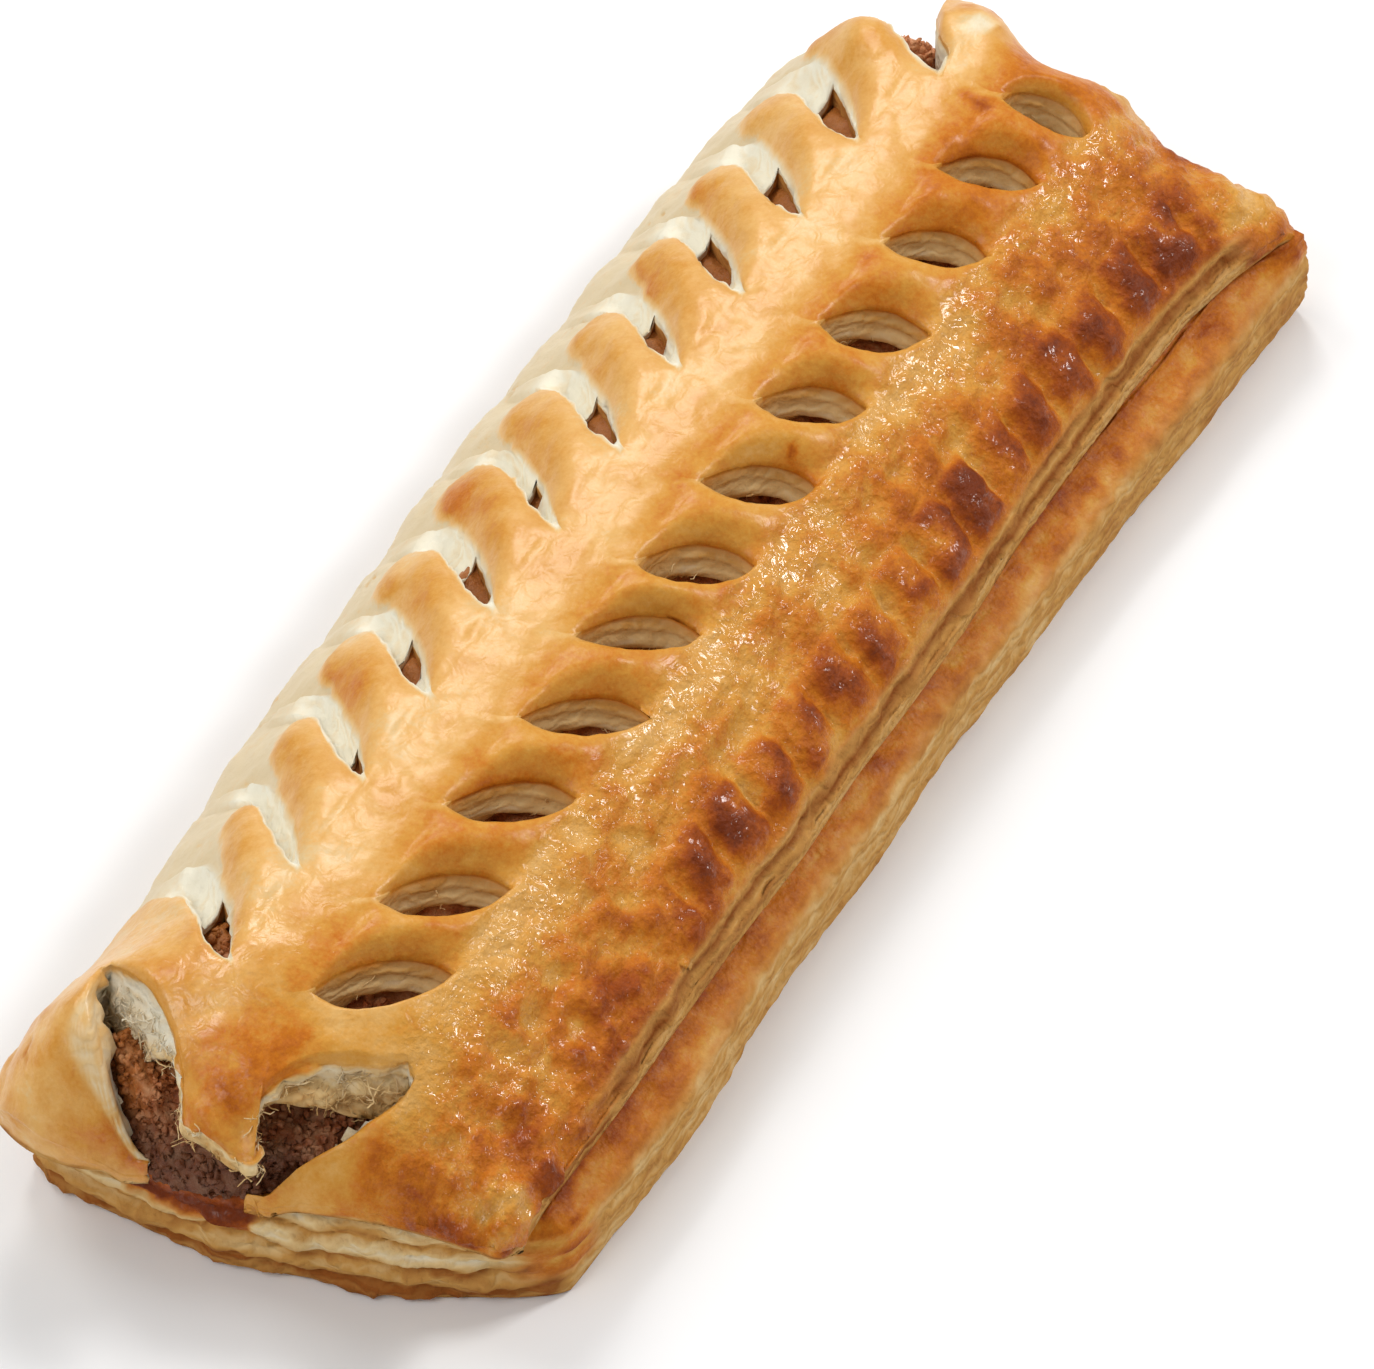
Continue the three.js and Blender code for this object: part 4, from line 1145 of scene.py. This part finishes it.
def inMillimetres(tree, place):
    return addNode(tree, "VectorMath", {0: place, 1: (1000, 1000, 1000)}, operation="MULTIPLY").outputs[0]


def newGroup(name, inputs, outputs):
    group = bpy.data.node_groups.new(name, "ShaderNodeTree")
    for title, (kind, value) in inputs.items():
        socket = group.interface.new_socket(title, in_out="INPUT", socket_type="NodeSocket" + kind)
        if value is not None:
            socket.default_value = (*value, 1) if kind == "Color" else value
    for title, kind in outputs.items():
        group.interface.new_socket(title, in_out="OUTPUT", socket_type="NodeSocket" + kind)
    return group, group.nodes.new("NodeGroupInput").outputs, group.nodes.new("NodeGroupOutput").inputs


def stepsOfTone(tree, level, stops):
    # colours one after another along a 0 to 1 level, each stop (place, colour socket)
    colour = stops[0][1]
    for (low, _), (high, following) in zip(stops, stops[1:]):
        colour = mixColours(tree, ramp(tree, level, low, high), colour, following)
    return colour


def toneGroup(name, levelName, mottleName, mottleAmount, tones):
    # a scale of colours along a level that a mottle shifts; tones are name: (place on the level, colour)
    inputs = {levelName: ("Float", 0.3), mottleName: ("Float", 0.5), "Mottle Amount": ("Float", mottleAmount)}
    inputs.update({key: ("Color", colour) for key, (_, colour) in tones.items()})
    group, given, result = newGroup(name, inputs, {"Color": "Color"})
    off = mathNode(group, "SUBTRACT", given[mottleName], 0.5)
    level = multiplyAdd(group, off, given["Mottle Amount"], given[levelName])
    stops = [(place, given[key]) for key, (place, _) in tones.items()]
    group.links.new(stepsOfTone(group, level, stops), result["Color"])
    return group


def crustGrainGroup():
    # blotches, small blisters and very fine wrinkles of egg-washed crust
    group, given, result = newGroup("crustGrain", {
        "Vector": ("Vector", None), "Blotch Size": ("Float", 3.0), "Blister Size": ("Float", 0.9),
    }, {"Mottle": "Float", "Height": "Float", "Wet": "Float", "Glint": "Float"})
    place = inMillimetres(group, given["Vector"])
    blotchScale = mathNode(group, "DIVIDE", 1.0, given["Blotch Size"])
    blisterScale = mathNode(group, "DIVIDE", 1.0, given["Blister Size"])
    blotch = noise(group, place, blotchScale, 6.0, 0.62, 0.4)
    blister = noise(group, place, blisterScale, 4.0, 0.6)
    pores = addNode(group, "TexVoronoi", {"Vector": place, "Scale": 1.6}).outputs["Distance"]
    freckles = noise(group, place, 1.9, 3.0, 0.7)
    blotch = multiplyAdd(group, blotch, 0.62, mathNode(group, "MULTIPLY", freckles, 0.38))
    group.links.new(ramp(group, blotch, 0.33, 0.67), result["Mottle"])
    height = multiplyAdd(group, blister, 0.7, mathNode(group, "MULTIPLY", pores, 0.2))
    group.links.new(height, result["Height"])
    drops = noise(group, place, 0.75, 4.0, 0.65)
    group.links.new(ramp(group, drops, 0.5, 0.6), result["Wet"])
    group.links.new(noise(group, place, 0.5, 2.5, 0.6, 0.8), result["Glint"])
    return group


def layerLinesGroup():
    # thin leaves of puffed dough, seen on a cut
    group, given, result = newGroup("layerLines", {
        "Vector": ("Vector", None), "Spacing": ("Float", 0.75), "Wander": ("Float", 3.7),
    }, {"Lines": "Float", "Height": "Float"})
    place = inMillimetres(group, given["Vector"])
    bend = noise(group, place, 0.28, 3.0)
    upwards = addNode(group, "SeparateXYZ", {0: place}).outputs["Z"]
    turns = multiplyAdd(group, bend, given["Wander"], mathNode(group, "DIVIDE", upwards, given["Spacing"]))
    wave = mathNode(group, "SINE", mathNode(group, "MULTIPLY", turns, 2 * math.pi))
    holes = noise(group, place, 1.1, 4.0, 0.6)
    lines = mathNode(group, "MULTIPLY", multiplyAdd(group, wave, 0.5, 0.5), holes)
    lines = multiplyAdd(group, lines, 1.2, 0.15)
    group.links.new(lines, result["Lines"])
    group.links.new(mathNode(group, "ADD", lines, holes), result["Height"])
    return group


def meatGrainGroup():
    group, given, result = newGroup("meatGrain", {
        "Vector": ("Vector", None), "Grain Size": ("Float", 1.4),
        "Deep": ("Color", (0.13, 0.028, 0.008)), "Meat": ("Color", (0.48, 0.145, 0.045)),
        "Fat": ("Color", (0.72, 0.38, 0.19)),
    }, {"Color": "Color", "Height": "Float"})
    place = inMillimetres(group, given["Vector"])
    grain = noise(group, place, mathNode(group, "DIVIDE", 1.0, given["Grain Size"]), 5.0, 0.62)
    flecks = addNode(group, "TexVoronoi", {"Vector": place, "Scale": 0.5}).outputs["Distance"]
    tone = multiplyAdd(group, flecks, 0.25, grain)
    stops = [(0.38, given["Deep"]), (0.55, given["Meat"]), (0.85, given["Fat"])]
    group.links.new(stepsOfTone(group, tone, stops), result["Color"])
    group.links.new(grain, result["Height"])
    return group


# baked crust and cut dough from palest to darkest: where each tone stands on the level, and its colour
crustTones = {
    "Cream": (0.02, (0.69, 0.57, 0.38)), "Light": (0.2, (0.74, 0.445, 0.155)),
    "Golden": (0.42, (0.64, 0.3, 0.045)), "Amber": (0.6, (0.55, 0.165, 0.01)),
    "Brown": (0.8, (0.33, 0.066, 0.004)), "Dark": (1.0, (0.165, 0.027, 0.003)),
}
doughTones = {
    "White": (0.05, (0.8, 0.75, 0.6)), "Pale": (0.35, (0.75, 0.54, 0.26)), "Tan": (0.65, (0.56, 0.29, 0.075)),
    "Brown": (1.0, (0.3, 0.09, 0.014)),
}
groups = {
    "crustTone": toneGroup("crustTone", "Bake", "Mottle", 0.3, crustTones),
    "cutTone": toneGroup("cutTone", "Toast", "Lines", 0.14, doughTones),
    "crustGrain": crustGrainGroup(), "layerLines": layerLinesGroup(), "meatGrain": meatGrainGroup(),
}


def useGroup(tree, name, inputs=()):
    node = tree.nodes.new("ShaderNodeGroup")
    node.node_tree = groups[name]
    for title, value in dict(inputs).items():
        if isinstance(value, bpy.types.NodeSocket):
            tree.links.new(value, node.inputs[title])
        elif node.inputs[title].type == "RGBA":
            node.inputs[title].default_value = (*value, 1)
        else:
            node.inputs[title].default_value = value
    return node


def newMaterial(name, roughness, specular=0.5):
    material = bpy.data.materials.new(name)
    material.use_nodes = True
    shader = material.node_tree.nodes["Principled BSDF"]
    shader.inputs["Roughness"].default_value = roughness
    shader.inputs["Specular IOR Level"].default_value = specular
    return material, material.node_tree, shader


def attribute(tree, name):
    return addNode(tree, "Attribute", attribute_name=name).outputs["Fac"]


def pastryMaterial(name, look):
    material, tree, shader = newMaterial(name, look["roughness"], look["specular"])
    place = addNode(tree, "TexCoord").outputs["Object"]
    bake, cut, gloss, texture = [attribute(tree, mask) for mask in ("bake", "cut", "gloss", "rough")]
    grain = useGroup(tree, "crustGrain", {"Vector": place, "Blotch Size": look["blotch"]}).outputs
    lines = useGroup(tree, "layerLines", {"Vector": place, "Spacing": look["leafSpacing"]}).outputs
    amount = multiplyAdd(tree, bake, look["mottleByBake"], look["mottle"])
    crustInputs = {"Bake": bake, "Mottle": grain["Mottle"], "Mottle Amount": amount}
    crustColour = useGroup(tree, "crustTone", crustInputs)
    cutColour = useGroup(tree, "cutTone", {"Toast": bake, "Lines": lines["Lines"]})
    colour = mixColours(tree, cut, crustColour.outputs["Color"], cutColour.outputs["Color"])
    tree.links.new(colour, shader.inputs["Base Color"])
    # egg wash on the crust only, in drops where it is baked dark
    crustOnly = mathNode(tree, "SUBTRACT", 1.0, cut, clamp=True)
    drops = addNode(tree, "Mix", {0: ramp(tree, bake, *look["dropsFrom"]), 2: 1.0, 3: grain["Wet"]},
                    data_type="FLOAT").outputs[0]
    coat = mathNode(tree, "MULTIPLY", mathNode(tree, "MULTIPLY", gloss, crustOnly), look["eggWash"])
    tree.links.new(mathNode(tree, "MULTIPLY", coat, drops), shader.inputs["Coat Weight"])
    shader.inputs["Coat Tint"].default_value = (*look["washTint"], 1)
    sharp = multiplyAdd(tree, texture, -look["sharperByTexture"], look["coatRoughness"])
    tree.links.new(mathNode(tree, "MAXIMUM", sharp, look["coatSharpest"]), shader.inputs["Coat Roughness"])
    rough = multiplyAdd(tree, cut, look["cutRoughness"] - look["roughness"], look["roughness"])
    tree.links.new(rough, shader.inputs["Roughness"])
    lineHeight = mathNode(tree, "MULTIPLY", lines["Height"], cut)
    lineHeight = mathNode(tree, "MULTIPLY", lineHeight, look["lineRelief"])
    grainHeight = mathNode(tree, "MULTIPLY", grain["Height"], crustOnly)
    depth = mathNode(tree, "MULTIPLY", mathNode(tree, "ADD", texture, 0.1), look["bumpDepth"])
    bump = addNode(tree, "Bump", {"Height": mathNode(tree, "ADD", lineHeight, grainHeight),
                                  "Strength": look["bump"], "Distance": depth})
    tree.links.new(bump.outputs[0], shader.inputs["Normal"])
    glints = addNode(tree, "Bump", {"Height": grain["Glint"], "Strength": 1.0,
                                    "Distance": mathNode(tree, "MULTIPLY", texture, look["glintDepth"])})
    tree.links.new(glints.outputs[0], shader.inputs["Coat Normal"])
    return material


def meatMaterial(name, look):
    material, tree, shader = newMaterial(name, look["roughness"], look["specular"])
    place = addNode(tree, "TexCoord").outputs["Object"]
    grain = useGroup(tree, "meatGrain", {"Vector": place, "Grain Size": look["grain"]}).outputs
    colour = grain["Color"]
    for mask in ("warmAndShade", "pink", "shadeAndBrowning"):
        amount, tint = look[mask]
        colour = mixColours(tree, mathNode(tree, "MULTIPLY", attribute(tree, mask), amount), colour, tint)
    tree.links.new(colour, shader.inputs["Base Color"])
    bump = addNode(tree, "Bump", {"Height": grain["Height"], "Strength": look["bump"],
                                  "Distance": look["bumpDepth"]})
    tree.links.new(bump.outputs[0], shader.inputs["Normal"])
    return material


def plainMaterial(name, colour, roughness):
    material, _, shader = newMaterial(name, roughness)
    shader.inputs["Base Color"].default_value = (*colour, 1)
    return material


pastryLook = {
    "roughness": 0.42, "cutRoughness": 0.8, "specular": 0.12,
    "blotch": 2.6, "mottle": 0.17, "mottleByBake": 0.1, "leafSpacing": 1.1,
    "eggWash": 1.5, "washTint": (1.0, 0.9, 0.67),
    "dropsFrom": (0.35, 0.65),          # bake levels between which the wash breaks up into drops
    "coatRoughness": 0.36, "sharperByTexture": 0.24, "coatSharpest": 0.1,
    "bump": 0.6, "bumpDepth": 0.0009, "lineRelief": 0.6, "glintDepth": 0.0007,
}
# how much of each tint lies over the meat where its mask is full
meatLook = {
    "roughness": 0.42, "specular": 0.3, "grain": 1.5, "bump": 0.8, "bumpDepth": 0.0008,
    # the first tint is partly the meat's warmer colour, partly painted shade
    "warmAndShade": (0.88, (0.38, 0.125, 0.018)), "pink": (0.6, (0.92, 0.42, 0.2)),
    # the next tint is painted shade, partly browned meat
    "shadeAndBrowning": (0.8, (0.075, 0.022, 0.01)),
}
pastry = pastryMaterial("puffPastry", pastryLook)
sausage = meatMaterial("sausageMeat", meatLook)

lidPiece = makeLidPiece()
basePiece = makeBasePiece()
meatPiece = makeMeatPiece()
for piece, node, material in ((lidPiece, "pastry_lid", pastry), (basePiece, "pastry_base", pastry),
                              (meatPiece, "filling", sausage)):
    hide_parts(node)
    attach(piece, "root")
    piece.data.materials.append(material)


# small things scattered by Geometry Nodes over the parts that their mask marks
def geo(tree, kind, inputs=(), **settings):
    return addNode(tree, kind, inputs, family="GeometryNode", **settings)


def randomValue(tree, low, high, seed, vector=False):
    kind = "FLOAT_VECTOR" if vector else "FLOAT"
    node = addNode(tree, "RandomValue", family="FunctionNode", data_type=kind)
    first = 0 if vector else 2
    for place, value in enumerate((low, high)):
        socket = node.inputs[first + place]
        if isinstance(value, bpy.types.NodeSocket):
            tree.links.new(value, socket)
        else:
            socket.default_value = value
    node.inputs["Seed"].default_value = seed
    return node.outputs[0 if vector else 1]


def threadShape(tree, given):
    # a short strand with closed ends
    half = mathNode(tree, "MULTIPLY", given["Length"], 0.5)
    end = addNode(tree, "CombineXYZ", {"X": half}).outputs[0]
    start = addNode(tree, "CombineXYZ", {"X": mathNode(tree, "MULTIPLY", half, -1.0)}).outputs[0]
    line = geo(tree, "CurvePrimitiveLine", {"Start": start, "End": end})
    strand = geo(tree, "ResampleCurve", {"Curve": line.outputs[0], "Count": 10})
    ring = geo(tree, "CurvePrimitiveCircle", {"Resolution": 5, "Radius": given["Thickness"]})
    return geo(tree, "CurveToMesh", {"Curve": strand.outputs[0], "Profile Curve": ring.outputs[0],
                                     "Fill Caps": True})


def lumpShape(tree, given):
    ball = geo(tree, "MeshIcoSphere", {"Radius": given["Thickness"], "Subdivisions": 2}).outputs[0]
    size = addNode(tree, "CombineXYZ", {"X": given["Length"], "Y": given["Width"], "Z": 0.55}).outputs[0]
    return geo(tree, "Transform", {"Geometry": ball, "Scale": size})


def flakeShape(tree, given):
    size = addNode(tree, "CombineXYZ", {"X": given["Length"], "Y": given["Width"], "Z": given["Thickness"]})
    return geo(tree, "MeshCube", {"Size": size.outputs[0], "Vertices X": 5, "Vertices Y": 4, "Vertices Z": 2})


def scatterTree(name, shape, look, material):
    # one shape at random points, turned and sized at random, then bent by a noise
    tree = bpy.data.node_groups.new(name, "GeometryNodeTree")
    tree.interface.new_socket("Geometry", in_out="INPUT", socket_type="NodeSocketGeometry")
    for title in look["inputs"]:
        tree.interface.new_socket(title, in_out="INPUT", socket_type="NodeSocketFloat")
    tree.interface.new_socket("Geometry", in_out="OUTPUT", socket_type="NodeSocketGeometry")
    given, result = tree.nodes.new("NodeGroupInput").outputs, tree.nodes.new("NodeGroupOutput").inputs
    mask = geo(tree, "InputNamedAttribute", {"Name": look["mask"]}, data_type="FLOAT").outputs[0]
    density = mathNode(tree, "MULTIPLY", mask, given["Density"])
    spread = geo(tree, "DistributePointsOnFaces", {"Mesh": given["Geometry"], "Density": density,
                                                   "Seed": look["seed"]}).outputs
    tilt = look["tilt"]
    turn = randomValue(tree, (-tilt, -tilt, 0), (tilt, tilt, 2 * math.pi), look["seed"] + 1, vector=True)
    turned = addNode(tree, "RotateRotation", {"Rotation": spread["Rotation"], "Rotate By": turn},
                     family="FunctionNode", rotation_space="LOCAL").outputs[0]
    scale = randomValue(tree, given["Smallest"], given["Largest"], look["seed"] + 2)
    bit = geo(tree, "SetShadeSmooth", {"Geometry": shape(tree, given).outputs[0]}).outputs[0]
    scattered = geo(tree, "InstanceOnPoints", {"Points": spread["Points"], "Instance": bit,
                                               "Rotation": turned, "Scale": scale})
    real = geo(tree, "RealizeInstances", {"Geometry": scattered.outputs[0]}).outputs[0]
    wave = addNode(tree, "TexNoise", {"Scale": given["Bend Size"], "Detail": 2.0}).outputs["Color"]
    centred = addNode(tree, "VectorMath", {0: wave, 1: (0.5, 0.5, 0.5)}, operation="SUBTRACT").outputs[0]
    bend = addNode(tree, "VectorMath", {0: centred, "Scale": given["Bend Depth"]},
                   operation="SCALE").outputs[0]
    bent = geo(tree, "SetPosition", {"Geometry": real, "Offset": bend}).outputs[0]
    final = geo(tree, "SetMaterial", {"Geometry": bent, "Material": material}).outputs[0]
    tree.links.new(final, result[0])
    return tree


def scatter(name, source, shape, look, material):
    # instances over a copy of the source, turned into a plain mesh piece
    tree = scatterTree(name, shape, look, material)
    carrier = bpy.data.objects.new(name + "Carrier", source.data)
    bpy.context.scene.collection.objects.link(carrier)
    modifier = carrier.modifiers.new(name, "NODES")
    modifier.node_group = tree
    for item in tree.interface.items_tree:
        if item.in_out == "INPUT" and item.name in look["inputs"]:
            modifier[item.identifier] = look["inputs"][item.name]
    evaluated = carrier.evaluated_get(bpy.context.evaluated_depsgraph_get())
    mesh = bpy.data.meshes.new_from_object(evaluated)
    bpy.data.objects.remove(carrier)
    mesh.name = name
    piece = bpy.data.objects.new(name, mesh)
    bpy.context.scene.collection.objects.link(piece)
    print(name + ":", sum(len(f.vertices) - 2 for f in mesh.polygons), "triangles")
    return piece


threads = {
    "mask": "torn", "seed": 5, "tilt": 0.25,
    "inputs": {"Density": 1.9e6, "Length": 3.2 * mm, "Thickness": 0.05 * mm, "Smallest": 0.4, "Largest": 1.1,
               "Bend Size": 520.0, "Bend Depth": 3.2 * mm},
}
# their length and width are shares of their thickness
meatGrains = {
    "mask": "shown", "seed": 11, "tilt": 3.0,
    "inputs": {"Density": 1.4e6, "Length": 1.0, "Width": 0.8, "Thickness": 0.62 * mm, "Smallest": 0.35,
               "Largest": 1.2, "Bend Size": 2100.0, "Bend Depth": 1.3 * mm},
}
flakes = {
    "mask": "frayed", "seed": 23, "tilt": 0.35,
    "inputs": {"Density": 0.5e6, "Length": 2.3 * mm, "Width": 1.5 * mm, "Thickness": 0.14 * mm,
               "Smallest": 0.4, "Largest": 1.1, "Bend Size": 500.0, "Bend Depth": 1.0 * mm},
}
for name, source, shape, look, slot in (("doughThreads", lidPiece, threadShape, threads, "lid_pastry"),
                                        ("meatGrains", meatPiece, lumpShape, meatGrains, "sausage_meat"),
                                        ("pastryFlakes", lidPiece, flakeShape, flakes, "lid_pastry")):
    scattered = scatter(name, source, shape, look, source.data.materials[0])
    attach(scattered, "root")


# stage, lights and camera
studio = {
    "floorSize": 3.0, "floorHeight": -0.0002, "floorColour": (0.9, 0.9, 0.9), "worldStrength": 0.37,
    "cameraTarget": (-7.918, -7.073, 14.0), "cameraElevation": 48.0, "cameraTurn": 29.147,
    "cameraDistance": 747.49, "cameraLens": 196.5, "cameraSensor": 36,
    # area lights, each a metre away: name, direction, size in metres, watts
    "lights": [("leftWindow", (0.05, 0.62, 0.78), 0.36, 2.25), ("backWindow", (0.6, 0.4, 0.7), 0.24, 2.5),
               ("backRight", (0.585, -0.44, 0.68), 0.2, 4.4), ("frontFill", (-0.62, 0.2, 0.75), 0.5, 2.8)],
}


def makeStage():
    floorMesh = bpy.data.meshes.new("floor")
    h = studio["floorSize"] / 2
    floorMesh.from_pydata([(-h, -h, 0), (h, -h, 0), (h, h, 0), (-h, h, 0)], [], [(0, 1, 2, 3)])
    floor = bpy.data.objects.new("floor", floorMesh)
    floor.location.z = studio["floorHeight"]
    bpy.context.scene.collection.objects.link(floor)
    floorMesh.materials.append(plainMaterial("floorPaper", studio["floorColour"], 0.9))
    world = bpy.data.worlds.new("studio")
    bpy.context.scene.world = world
    world.use_nodes = True
    sky = world.node_tree.nodes["Background"].inputs
    sky["Color"].default_value = (1, 1, 1, 1)
    sky["Strength"].default_value = studio["worldStrength"]


def addLight(name, direction, size, power):
    light = bpy.data.lights.new(name, "AREA")
    light.size = size
    light.energy = power
    lamp = bpy.data.objects.new(name, light)
    lamp.location = Vector(direction).normalized()
    lamp.rotation_euler = lamp.location.to_track_quat("Z", "Y").to_euler()
    bpy.context.scene.collection.objects.link(lamp)


def addCamera():
    elevation, turn = math.radians(studio["cameraElevation"]), math.radians(studio["cameraTurn"])
    level = Vector((math.cos(turn), math.sin(turn), 0))
    forward = level * math.cos(elevation) - Vector((0, 0, math.sin(elevation)))
    target = Vector(studio["cameraTarget"]) + Vector((*rollForm["shift"], 0))
    cameraData = bpy.data.cameras.new("camera")
    cameraData.lens = studio["cameraLens"]
    cameraData.sensor_width = studio["cameraSensor"]
    camera = bpy.data.objects.new("camera", cameraData)
    camera.location = (target - forward * studio["cameraDistance"]) * mm
    camera.rotation_euler = forward.to_track_quat("-Z", "Y").to_euler()
    bpy.context.scene.collection.objects.link(camera)
    bpy.context.scene.camera = camera


makeStage()
for light in studio["lights"]:
    addLight(*light)
addCamera()
bpy.context.scene.view_settings.view_transform = "Standard"
print("stage, lights and camera set")
